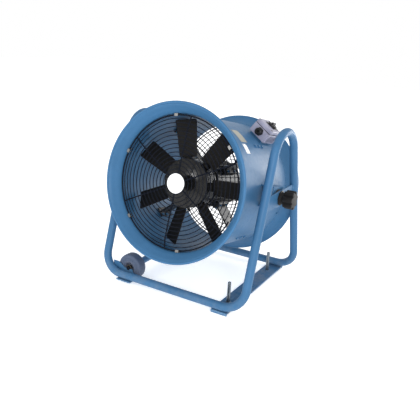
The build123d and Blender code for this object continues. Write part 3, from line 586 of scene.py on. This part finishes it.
for guard, (end, middle) in GUARD_CENTRES.items():
    rings = Shape()
    for radius in RING_RADII:
        height = guard_height(middle, end, radius)
        path = []
        for k in range(120):
            a = 2 * math.pi * k / 120
            wobble = 0.35 * noise.noise(Vector((math.cos(a) * 2.1, math.sin(a) * 2.1, radius + middle)))
            path.append(((radius + wobble) * math.cos(a), (radius + wobble) * math.sin(a), height + wobble * 0.5))
        rings.add(sweep(path, WIRE_R, sides=10, closed=True), ALONG_Y)
    outer_height = guard_height(middle, end, OUTER_RING_R) + end * (OUTER_WIRE_R - WIRE_R)
    rings.add(sweep(circle(OUTER_RING_R, outer_height, 160), OUTER_WIRE_R, sides=12, closed=True), ALONG_Y)
    piece(f"{guard}_guard_wires", rings, "casing", "wire_black", CASING, replaces=[f"{guard}_guard_rings"], sharp=80)

    spokes = Shape()
    offset = end * (WIRE_R + SPOKE_R + WIRE_GAP)
    for angle in SPOKE_ANGLES:
        line = [(0, middle - offset, r) for r in np.linspace(24, DISH_START_R - 3, 14)]
        line += [(0, guard_height(middle, end, r) - offset, r) for r in np.linspace(DISH_START_R + 3, OUTER_RING_R, 6)]
        spokes.add(sweep(line, SPOKE_R, sides=12), outward(angle))
        for radius in RING_RADII:
            spot = (0, guard_height(middle, end, radius) - end * (WIRE_R + 0.1), radius)
            nugget = lathe([(0.001, -2.0), (1.7, -1.5), (2.3, 0), (1.7, 1.5), (0.001, 2.0)], steps=8, closed=False)
            spokes.add(nugget, outward(angle) @ shift(*spot))
    piece(f"{guard}_guard_arms", spokes, "casing", "wire_black", CASING, replaces=[f"{guard}_guard_spokes"], sharp=60)

    pressed = Shape()
    back_z = middle - end * WIRE_R
    face_z = middle - end * (WIRE_R - 2.0)
    pressed.add(lathe([
        (0.001, back_z), (39.2, back_z), (40.0, back_z + end * 0.6), (40.0, face_z - end * 0.5), (39.4, face_z),
        (37.2, face_z), (36.4, face_z - end * 0.35), (0.001, face_z - end * 0.35),
    ], steps=96, closed=False), ALONG_Y)
    piece(f"{guard}_guard_disc", pressed, "casing", "wire_black", CASING, replaces=[f"{guard}_guard_plate"], sharp=30)

disc_face = -233.0 + WIRE_R - 2.0
label = [(0.001, disc_face), (35.6, disc_face), (36.0, disc_face - 0.25), (35.7, disc_face - 0.7)]
label += [(r, disc_face - 0.7 - 0.28 * (1 - (r / 35.0) ** 2)) for r in (34, 28, 21, 14, 7)]
label += [(0.001, disc_face - 0.98)]
piece(
    "centre_label", Shape().add(lathe(label, steps=96, closed=False), ALONG_Y), "casing", "label_white", CASING,
    replaces=["front_disc_label"], sharp=50,
)

# Guard clips keep their CAD shape; their screws and nuts are made in full
keep("guard_clips", 0.5)
clip_screws = Shape()
for guard, (end, middle) in GUARD_CENTRES.items():
    y = front_throat + 16 if end < 0 else rear_throat - 16
    for angle in CLIP_ANGLES:
        place = outward(angle)
        head = disc_profile(4.5, 0, 2.4, 1.0, dome=0.6)
        clip_screws.add(lathe(head, steps=24, closed=False), place @ shift(0, y, 247.6) @ Matrix.Rotation(math.pi, 4, "X"))
        clip_screws.add(lathe([(0.001, 247), (2.5, 247), (2.5, 257), (2.1, 257.4), (0.001, 257.4)], 16, False),
                        place @ shift(0, y, 0))
        clip_screws.add(hexagon_head(8.0, 3.8), place @ shift(0, y, WALL_R + 0.1))
piece("guard_fixings", clip_screws, "casing", "casing_blue", CASING, replaces=["guard_screws"], sharp=35)


# ---------------------------------------------------------------- impeller
BLADE_COUNT, BLADE_ANGLE, BLADE_PITCH = 7, 104.0, 27.5
BLADE_ROOT, BLADE_TIP, BLADE_ROOT_CHORD, BLADE_TIP_CHORD = 98.0, 239.0, 66.0, 80.0
BLADE_THICK, BLADE_CORNER = 4.0, 7.0


def blade_section(chord, thick, camber, count=14):
    """A blade's section: a thin plate with rounded edges and a little camber."""
    upper, lower = [], []
    for k in range(count + 1):
        t = k / count
        x = -chord / 2 * math.cos(math.pi * t)
        edge = min(1.0, (1 - abs(2 * x / chord)) * chord / 5.0)
        half = thick / 2 * math.sqrt(max(0.0, 1 - (1 - edge) ** 2))
        bow = camber * (1 - (2 * x / chord) ** 2)
        upper.append((x, bow + half))
        lower.append((x, bow - half))
    return upper + lower[-2:0:-1]


def blade_loft():
    rings = []
    length = BLADE_TIP - BLADE_ROOT
    spans = list(np.linspace(0, BLADE_CORNER, 6)) + list(np.linspace(BLADE_CORNER, length - BLADE_CORNER, 18))[1:]
    spans += list(np.linspace(length - BLADE_CORNER, length, 6))[1:]
    for s in spans:
        near_end = min(s, length - s, BLADE_CORNER)
        cut = BLADE_CORNER - math.sqrt(max(0.0, BLADE_CORNER ** 2 - (BLADE_CORNER - near_end) ** 2))
        chord = BLADE_ROOT_CHORD + (BLADE_TIP_CHORD - BLADE_ROOT_CHORD) * s / length - 2 * cut
        thick = (BLADE_THICK - 0.8 * s / length) * (0.55 if near_end < 0.2 else 1.0)
        rings.append([(x, y, BLADE_ROOT + s) for x, y in blade_section(chord, thick, 0.7)])
    return loft(rings)


blades, clamps = Shape(), Shape()
for i in range(BLADE_COUNT):
    place = outward(BLADE_ANGLE + 360 * i / BLADE_COUNT) @ shift(0, IMPELLER_Y, 0)
    pitched = place @ Matrix.Rotation(math.radians(BLADE_PITCH), 4, "Z")
    blades.add(blade_loft(), pitched)
    root = [
        (0.001, 80), (10, 80), (10, 91.6), (17, 92.4), (17, 98.6), (16.2, 100), (12, 101.6), (8, 103.0), (0.001, 103.4),
    ]
    blades.add(lathe(root, steps=40, closed=False), place)
    for side in (-1, 1):
        rib = [(side * 7.6, 0, r) for r in np.linspace(100, 150, 10)]
        blades.add(sweep(rib, 1.9, sides=8, flatten=1.35), pitched)
        clamps.add(hexagon_head(7.0, 2.4), pitched @ shift(side * 12.6, 0, 98.7))
piece("fan_blades", blades, "impeller", "blade_black", CASING, replaces=["impeller_blades"], sharp=48)
piece("blade_bolts", clamps, "impeller", "hub_black", CASING, sharp=35)

hub_y0, hub_y1 = IMPELLER_Y - HUB_LENGTH / 2, IMPELLER_Y + HUB_LENGTH / 2
rim_edge = HUB_R - 0.8
rim = [(HUB_R - 1.0, hub_y0), (HUB_R, hub_y0 + 1.0)]
for middle in (IMPELLER_Y - 23, IMPELLER_Y + 23):
    rim += [(HUB_R, middle - 1.6), (rim_edge, middle - 0.8), (rim_edge, middle + 0.8), (HUB_R, middle + 1.6)]
rim += [
    (HUB_R, hub_y1 - 1.2), (HUB_R - 1.2, hub_y1), (HUB_INNER_R + 1, hub_y1), (HUB_INNER_R, hub_y1 - 1),
    (HUB_INNER_R, IMPELLER_Y + 8), (HUB_INNER_R - 2, IMPELLER_Y + 6), (28.0, IMPELLER_Y + 6), (26.0, IMPELLER_Y + 8),
    (26.0, hub_y1 - 1), (25.0, hub_y1), (12.2, hub_y1), (12.2, hub_y0), (25.0, hub_y0), (26.0, hub_y0 + 1),
    (26.0, IMPELLER_Y - 6), (HUB_INNER_R, IMPELLER_Y - 6), (HUB_INNER_R, hub_y0),
]
hub = Shape().add(lathe(rim, steps=120), ALONG_Y)
for k in range(BLADE_COUNT):
    web = slab(2.2, 12.0, 0.8, 25.0, HUB_INNER_R + 1, 0.6)
    hub.add(web, outward(BLADE_ANGLE + 360 * (k + 0.5) / BLADE_COUNT) @ shift(0, IMPELLER_Y + 17, 0))
piece("hub_casting", hub, "impeller", "hub_black", CASING, replaces=["impeller_hub"], sharp=35)

NOSE_RISE, NOSE_EDGE = 13.0, 2.0
nose_r = (HUB_R ** 2 + NOSE_RISE ** 2) / (2 * NOSE_RISE)
nose_tip = hub_y0 - NOSE_EDGE - NOSE_RISE
nose = [
    (0.001, hub_y0 - 0.05), (HUB_R - 0.6, hub_y0 - 0.05), (HUB_R, hub_y0 - 0.6), (HUB_R - 0.4, hub_y0 - NOSE_EDGE),
]
for r in (90, 87, 82, 76, 68, 60, 52, 44, 36, 28, 20, 16.6):
    nose.append((r, nose_tip + nose_r - math.sqrt(nose_r ** 2 - r ** 2)))
nose += [(16, nose_tip + 1.2), (15.4, nose_tip + 0.9), (10, nose_tip + 0.5), (0.001, nose_tip + 0.2)]
nose_shape = Shape().add(lathe(nose, steps=120, closed=False), ALONG_Y)
NOSE_SCREW_R = 80.0
nose_screw_y = nose_tip + nose_r - math.sqrt(nose_r ** 2 - NOSE_SCREW_R ** 2)
for k in range(6):
    a = 2 * math.pi * k / 6
    head = lathe(disc_profile(4.0, 0, 1.6, 0.7, dome=0.5), 20, False)
    nose_shape.add(head, shift(NOSE_SCREW_R * math.cos(a), nose_screw_y + 0.2, NOSE_SCREW_R * math.sin(a))
                   @ Matrix.Rotation(math.radians(90), 4, "X"))
piece("hub_nose", nose_shape, "impeller", "hub_black", CASING, replaces=["impeller_nose"], sharp=35)
keep("motor_shaft", 0.5)
keep("motor_rotor", 0.4)

# ---------------------------------------------------------------- cradle
SIN_LEAN, COS_LEAN, TAN_LEAN = math.sin(LEG_LEAN), math.cos(LEG_LEAN), math.tan(LEG_LEAN)
LEG_TOP = HALF_BASE / SIN_LEAN - TOP_BEND_R / TAN_LEAN
BEND_Z = TUBE_Z + HALF_BASE / TAN_LEAN - TOP_BEND_R / SIN_LEAN


def leg_point(side, end, climb):
    """A point on a leg's centre line, a distance up from the floor corner."""
    return Vector((side * HALF_WIDTH, end * (HALF_BASE - climb * SIN_LEAN), TUBE_Z + climb * COS_LEAN))


def corner_bend(start, corner, stop, steps=14):
    """A quarter circle from start to stop, tangent to both straights."""
    centre = start + stop - corner
    turns = [math.pi / 2 * k / steps for k in range(steps + 1)]
    return [centre + math.cos(t) * (start - centre) + math.sin(t) * (stop - centre) for t in turns]


def side_loop(side, first):
    """Up one leg, over the top bend and down the other, with a floor corner bend at each end."""
    points = []
    straight = side * (HALF_WIDTH - CORNER_R)
    corner = Vector((side * HALF_WIDTH, first * HALF_BASE, TUBE_Z))
    start = Vector((straight, first * HALF_BASE, TUBE_Z))
    points += corner_bend(start, corner, leg_point(side, first, CORNER_R))
    points += [leg_point(side, first, climb) for climb in np.linspace(CORNER_R + 12, LEG_TOP - 6, 14)]
    reach = math.pi / 2 - LEG_LEAN
    for k in range(25):
        a = reach * (1 - 2 * k / 24)
        points.append(Vector((side * HALF_WIDTH, first * TOP_BEND_R * math.sin(a),
                              BEND_Z + TOP_BEND_R * math.cos(a))))
    points += [leg_point(side, -first, climb) for climb in np.linspace(LEG_TOP - 6, CORNER_R + 12, 14)]
    corner = Vector((side * HALF_WIDTH, -first * HALF_BASE, TUBE_Z))
    stop = Vector((straight, -first * HALF_BASE, TUBE_Z))
    points += corner_bend(leg_point(side, -first, CORNER_R), corner, stop)
    return points


loop = side_loop(1, -1)
loop += [Vector((x, HALF_BASE, TUBE_Z)) for x in np.linspace(200, -200, 12)]
loop += side_loop(-1, 1)
loop += [Vector((x, -HALF_BASE, TUBE_Z)) for x in np.linspace(-200, 200, 12)]
dented = []
for p in loop:
    give = 0.12 * noise.noise(p * 0.009)
    dented.append(p + Vector((give, give, 0)))
tube = Shape().add(sweep(dented, TUBE_R - 0.1, sides=36, closed=True))
piece("cradle_loop", tube, "frame", "cradle_blue", replaces=[
    "cross_tubes", "corner_bends", "near_front_leg", "near_rear_leg", "far_front_leg", "far_rear_leg",
    "near_top_bend", "far_top_bend",
], sharp=60)


def bead_along(line, thick=2.0):
    return sweep(line, thick, sides=8, ripple=0.14)


frame_welds = Shape()
BAR_LOW, BAR_HIGH, BAR_HALF, CONTACT = PIVOT_Z - 27, PIVOT_Z + 27, 3.0, 15.7
for side in (-1, 1):
    for end in (-1, 1):
        for face in (-BAR_HALF, BAR_HALF):
            frame_welds.add(bead_along([
                (side * (HALF_WIDTH + face + math.copysign(0.6, face)),
                 end * (HALF_BASE - (z - TUBE_Z) * TAN_LEAN - CONTACT / COS_LEAN), z)
                for z in np.arange(BAR_LOW + 1, BAR_HIGH - 1, 1.7)
            ]))
PLATE_LEFT, PLATE_TOP = 192.0, 13.0
for end in (-1, 1):
    frame_welds.add(bead_along([
        (x, end * (HALF_BASE - math.sqrt(TUBE_R ** 2 - (TUBE_Z - PLATE_TOP) ** 2) - 1.0), PLATE_TOP + 0.9)
        for x in np.arange(PLATE_LEFT + 3, 229, 1.7)
    ], 2.4))
    frame_welds.add(bead_along([
        (x, end * (HALF_BASE - 4.5), PLATE_TOP + 0.9) for x in np.arange(WHEEL_X - 30, WHEEL_X + 30, 1.7)
    ], 2.2))
    ring = [(PEG_X + 10.2 * math.cos(a), end * PEG_Y + 10.2 * math.sin(a), PLATE_TOP + 0.4)
            for a in np.linspace(0, 2 * math.pi, 40)[:-1]]
    frame_welds.add(sweep(ring, 1.6, sides=8, closed=True, ripple=0.14))
piece("cradle_welds", frame_welds, "frame", "cradle_blue", sharp=80)

pegs = Shape()
for end in (-1, 1):
    bar = [(0.001, 8.5), (5.0, 8.5), (5.0, 13.0), (9.0, 13.0), (8.4, 13.9), (6.5, 15.2)]
    bar += [(6.5 + 0.05 * math.sin(z * 1.3), z) for z in np.arange(18, 90, 3)]
    bar += arc((2.5, 91.0), 4.0, 0, 90, 6) + [(0.001, 95.0)]
    pegs.add(lathe(bar, steps=36, closed=False), shift(PEG_X, end * PEG_Y, 0))
piece("peg_bars", pegs, "frame", "peg_steel", replaces=["pegs"], sharp=50)

pads = Shape()
for end in (-1, 1):
    pads.add(slab(28.5, 22.0, 5.0, 1.4, 8.0, 1.2), shift(PLATE_X, end * 236.0, 0))
    for k in range(-4, 5):
        pads.add(slab(2.0, 20.5, 1.0, 0.0, 2.0, 0.5), shift(PLATE_X + 6.2 * k, end * 236.0, 0))
piece("ribbed_pads", pads, "frame", "rubber_black", replaces=["foot_pads"], sharp=40)
for node in ("near_pivot_bar", "far_pivot_bar", "foot_plate", "axle_brackets", "axle_sleeve", "axle_washers"):
    keep(node)
axle_profile = [(0.001, -235), (7.2, -235), (8.0, -234), (8.0, 234), (7.2, 235), (0.001, 235)]
axle_bar = Shape().add(lathe(axle_profile, 40, False), shift(WHEEL_X, 0, WHEEL_R) @ ALONG_Y)
piece("axle_bar", axle_bar, "frame", "wire_black", replaces=["axle"], sharp=35)

# ---------------------------------------------------------------- wheels
WHEEL_MID_Y = (WHEEL_Y0 + WHEEL_Y1) / 2
TYRE_HALF = (WHEEL_Y1 - WHEEL_Y0) / 2
for wheel, end in (("front_wheel", -1), ("rear_wheel", 1)):
    place = shift(WHEEL_X, end * WHEEL_MID_Y, WHEEL_R) @ ALONG_Y @ Matrix.Rotation(random.random(), 4, "Z")
    half = [
        (25.1, TYRE_HALF - 1.0), (25.9, TYRE_HALF - 0.1), (30.0, TYRE_HALF), (33.4, TYRE_HALF - 0.1),
        (34.2, TYRE_HALF - 0.7), (35.0, TYRE_HALF - 0.1), (43.0, TYRE_HALF - 0.1), (45.0, TYRE_HALF - 0.4),
        (47.5, TYRE_HALF - 0.9), (50.2, TYRE_HALF - 2.4), (51.9, TYRE_HALF - 4.8), (52.6, TYRE_HALF - 7.5),
        (52.9, TYRE_HALF - 12.0), (52.95, 4.0),
    ]
    section = half + [(r, -z) for r, z in half[::-1]]
    tyre_points, tyre_faces = lathe(section, steps=120)
    scuffed = []
    for p in tyre_points:
        radius = math.hypot(p[0], p[1])
        worn = 0.25 * abs(noise.noise(Vector(p) * 0.09)) if radius > 40 else 0.0
        scuffed.append((p[0] * (1 - worn / radius), p[1] * (1 - worn / radius), p[2]))
    piece(f"{wheel}_rubber", Shape().add((scuffed, tyre_faces), place), wheel, "wheel_grey",
          replaces=[f"{wheel}_tyre"], sharp=40)
    half = [
        (8.1, TYRE_HALF - 10.6), (11.6, TYRE_HALF - 10.6), (12.4, TYRE_HALF - 11.6), (16.4, TYRE_HALF - 12.0),
        (17.2, TYRE_HALF - 11.0), (19.6, TYRE_HALF - 2.6), (20.8, TYRE_HALF - 1.0), (22.0, TYRE_HALF - 0.6),
        (24.2, TYRE_HALF - 0.8), (25.0, TYRE_HALF - 1.6),
    ]
    hub_section = half + [(r, -z) for r, z in half[::-1]]
    wheel_hub = Shape().add(lathe(hub_section, steps=96), place)
    for face in (-1, 1):
        for k in range(6):
            spoke = slab(4.0, 1.0, 0.6, 0.0, 4.2, 0.4)
            spoke_place = place @ Matrix.Rotation(math.radians(60 * k), 4, "Z") @ shift(14.6, 0, 0)
            lift = TYRE_HALF - 12.4 if face > 0 else -(TYRE_HALF - 12.4) - 4.2
            wheel_hub.add(spoke, spoke_place @ shift(0, 0, lift))
    piece(f"{wheel}_centre", wheel_hub, wheel, "wheel_hub", replaces=[f"{wheel}_hub"], sharp=35)

# ---------------------------------------------------------------- tilt pivots and clamp knobs
keep("near_pivot_bracket")
keep("far_pivot_bracket")
keep("friction_discs", 0.3)
GRIP_INNER_X, GRIP_OUTER_X, KNOB_START_X = 334.0, 370.0, 314.3
LOBE_COUNT, LOBE_CORE_R, LOBE_R = 7, 26.0, 9.4


def lobed_ring(x, share, steps=140):
    """The grip's outline at one height; share shrinks it toward the axis."""
    ring = []
    for k in range(steps):
        a = 2 * math.pi * k / steps
        off = (a + math.pi / LOBE_COUNT) % (2 * math.pi / LOBE_COUNT) - math.pi / LOBE_COUNT
        under = LOBE_R ** 2 - (LOBE_CORE_R * math.sin(off)) ** 2
        lobe = LOBE_CORE_R * math.cos(off) + math.sqrt(under) if under > 0 else 1.0
        r = (LOBE_CORE_R ** 24 + lobe ** 24) ** (1 / 24) - share
        ring.append((r * math.cos(a), r * math.sin(a), x))
    return ring


def knob_shape(side):
    made = Shape()
    place = ALONG_X if side > 0 else Matrix.Rotation(math.pi, 4, "Z") @ ALONG_X
    place = shift(0, 0, PIVOT_Z) @ place
    rings = [lobed_ring(GRIP_INNER_X + 0.02, 4.0)]
    rings += [lobed_ring(GRIP_INNER_X + 2.5 * (1 - math.cos(t)), 2.5 * (1 - math.sin(t)))
              for t in np.linspace(0, math.pi / 2, 6)]
    rings += [lobed_ring(GRIP_OUTER_X - 3.5 * (1 - math.sin(t)), 3.5 * (1 - math.cos(t)))
              for t in np.linspace(0, math.pi / 2, 7)]
    made.add(loft(rings), place)
    skirt = [
        (8.2, KNOB_START_X), (27.2, KNOB_START_X), (28.0, KNOB_START_X + 0.8), (28.0, KNOB_START_X + 3.2),
        (27.2, KNOB_START_X + 4.0), (23.6, KNOB_START_X + 4.8), (22.2, KNOB_START_X + 7.0),
        (22.2, GRIP_INNER_X - 3.5), (24.5, GRIP_INNER_X + 0.4), (8.2, GRIP_INNER_X + 0.4),
    ]
    made.add(lathe(skirt, steps=72), place)
    cap = [
        (0.001, GRIP_OUTER_X - 1.0), (17.0, GRIP_OUTER_X - 1.0), (17.0, GRIP_OUTER_X - 0.5), (16.2, GRIP_OUTER_X - 0.05),
        (9.0, GRIP_OUTER_X - 0.02), (0.001, GRIP_OUTER_X - 0.01),
    ]
    made.add(lathe(cap, steps=48, closed=False), place)
    return made


for knob, side in (("near_knob", 1), ("far_knob", -1)):
    piece(f"{knob}_moulding", knob_shape(side), knob, "knob_black", replaces=[knob], sharp=38)
keep("pivot_studs", 0.4)

# ---------------------------------------------------------------- motor
keep("motor_body", 0.8)
keep("motor_shields", 1.2)
keep("motor_arms", 1.0)
for node in ("motor_bearings", "motor_stator"):
    keep(node, 0.4)
keep("motor_arm_bolts", 0.5)

# ---------------------------------------------------------------- switch box, gland and dial
BOX_ANGLE, BOX_MID_Y, BOX_HALF_X, BOX_HALF_Y = 55.0, 113.5, 40.0, 51.5
BOX_FLOOR, BOX_SEAM, BOX_TOP, BOX_CORNER = 258.0, 298.0, 315.0, 6.0
on_box = outward(BOX_ANGLE) @ shift(0, BOX_MID_Y, 0)
box = Shape().add(slab(BOX_HALF_X, BOX_HALF_Y, BOX_CORNER, BOX_FLOOR, BOX_SEAM - 0.3, 1.2), on_box)
for sx in (-1, 1):
    for sy in (-1, 1):
        pillar = slab(5.0, 5.0, 3.0, BOX_FLOOR + 1, BOX_SEAM - 1.0, 0.6)
        box.add(pillar, on_box @ shift(sx * (BOX_HALF_X - 5.2), sy * (BOX_HALF_Y - 5.2), 0))
for sy in (-24, 0, 24):
    box.add(slab(0.6, 9.0, 0.3, BOX_FLOOR + 6, BOX_SEAM - 7, 0.2), on_box @ shift(BOX_HALF_X - 0.6, sy, 0))
piece("box_moulding", box, "casing", "box_grey", CASING, replaces=["switch_box"], sharp=30)
lid = Shape().add(slab(BOX_HALF_X, BOX_HALF_Y, BOX_CORNER, BOX_SEAM + 0.7, BOX_TOP, 3.2), on_box)
lid.add(slab(28.0, 40.0, 4.0, BOX_TOP - 1.0, BOX_TOP - 0.02, 0.3), on_box)
piece("box_lid", lid, "casing", "box_grey", CASING, replaces=["switch_box_lid"], sharp=30)
screws = Shape()
for sx in (-1, 1):
    for sy in (-1, 1):
        head = lathe(disc_profile(4.0, 0, 1.8, 0.8, dome=0.4), 28, False)
        spot = on_box @ shift(sx * 33.0, sy * 44.5, BOX_TOP - 0.1)
        screws.add(head, spot)
        for turn in (20, 110):
            screws.add(slab(2.6, 0.45, 0.2, 1.9, 2.3, 0.1), spot @ Matrix.Rotation(math.radians(turn), 4, "Z"))
piece("lid_screws", screws, "casing", "zinc", CASING, replaces=["switch_box_screws"], sharp=35)
keep("box_saddle")
keep("switch_box_seal", 0.3)
keep("switch_plate", 0.5)
keep("switch_spindle", 0.3)

GLAND_Z = 280.0
on_gland = outward(BOX_ANGLE) @ shift(0, 62.0, GLAND_Z) @ Matrix.Rotation(math.radians(90), 4, "X")
gland = Shape()
nut = hexagon_head(29.4, 8.0, 1.0)
gland.add(nut, on_gland)
cap = [(6.6, 7.0), (13.4, 7.0), (13.4, 16.4)] + arc((11.0, 17.0), 2.6, 10, 80, 5)
cap += [(10.4, 20.0), (8.6, 20.0), (7.8, 18.8), (6.6, 18.4)]
gland.add(lathe(cap, steps=64), on_gland)
for k in range(16):
    rib = slab(0.9, 0.8, 0.3, 8.4, 17.0, 0.25)
    gland.add(rib, on_gland @ Matrix.Rotation(2 * math.pi * k / 16, 4, "Z") @ shift(13.3, 0, 0))
piece("gland_body", gland, "casing", "dial_black", CASING, replaces=["cable_gland"], sharp=32)
bush = lathe(rounded_profile(5.9, 8.2, 9.0, 19.0, 0.7), steps=48)
piece("gland_bush", Shape().add(bush, on_gland), "casing", "rubber_black", CASING, sharp=35)

dial_place = outward(BOX_ANGLE) @ shift(0, 127.5, 317.3)
dial = Shape()
wheel_edge = [(4.3, 0.0), (18.4, 0.0), (19.0, 0.6), (19.0, 3.6), (18.0, 5.4), (16.4, 6.0), (8.0, 6.0), (4.3, 6.0)]
dial.add(lathe(wheel_edge, steps=80), dial_place)
dial.add(slab(4.4, 17.2, 3.0, 5.2, 13.9, 1.2), dial_place)
dial.add(slab(0.8, 4.0, 0.4, 13.0, 13.98, 0.2), dial_place @ shift(0, 11.0, 0))
for k in range(36):
    knurl = slab(0.5, 0.5, 0.2, 0.8, 4.0, 0.15)
    dial.add(knurl, dial_place @ Matrix.Rotation(2 * math.pi * k / 36, 4, "Z") @ shift(18.6, 0, 0))
piece("dial_moulding", dial, "switch_dial", "dial_black", CASING, replaces=["switch_knob"], sharp=35)

# ---------------------------------------------------------------- plates on the casing
keep("data_plate", 0.2)
keep("small_plate", 0.2)
rivets = Shape()
for angles, ys in (((46.0, 60.0), (-118.0, -66.0)), ((35.0, 44.0), (-121.0, -92.0))):
    inset = 0.7
    for angle in (angles[0] + inset, angles[1] - inset):
        for y in (ys[0] + 3.2, ys[1] - 3.2):
            rivets.add(lathe(disc_profile(1.7, 0, 0.9, 0.5, dome=0.3), 20, False), outward(angle) @ shift(0, y, 252.8))
piece("plate_rivets", rivets, "casing", "zinc", CASING, sharp=50)

# ---------------------------------------------------------------- floor and finish
floor_mesh = bpy.data.meshes.new("studio_floor")
floor_mesh.from_pydata([(-12, -12, 0), (12, -12, 0), (12, 12, 0), (-12, 12, 0)], [], [(0, 1, 2, 3)])
floor = bpy.data.objects.new("studio_floor", floor_mesh)
bpy.context.scene.collection.objects.link(floor)
floor_material, floor_nodes = new_material("studio_floor_paint")[:2]
floor_shader = floor_nodes["Principled BSDF"].inputs
floor_shader["Base Color"].default_value = (0.93, 0.94, 0.95, 1)
floor_shader["Roughness"].default_value = 0.9
floor_shader["Specular IOR Level"].default_value = 0.1
floor_shader["Emission Color"].default_value = (1, 1, 1, 1)
floor_shader["Emission Strength"].default_value = 0.45
floor_mesh.materials.append(floor_material)

bpy.context.view_layer.update()
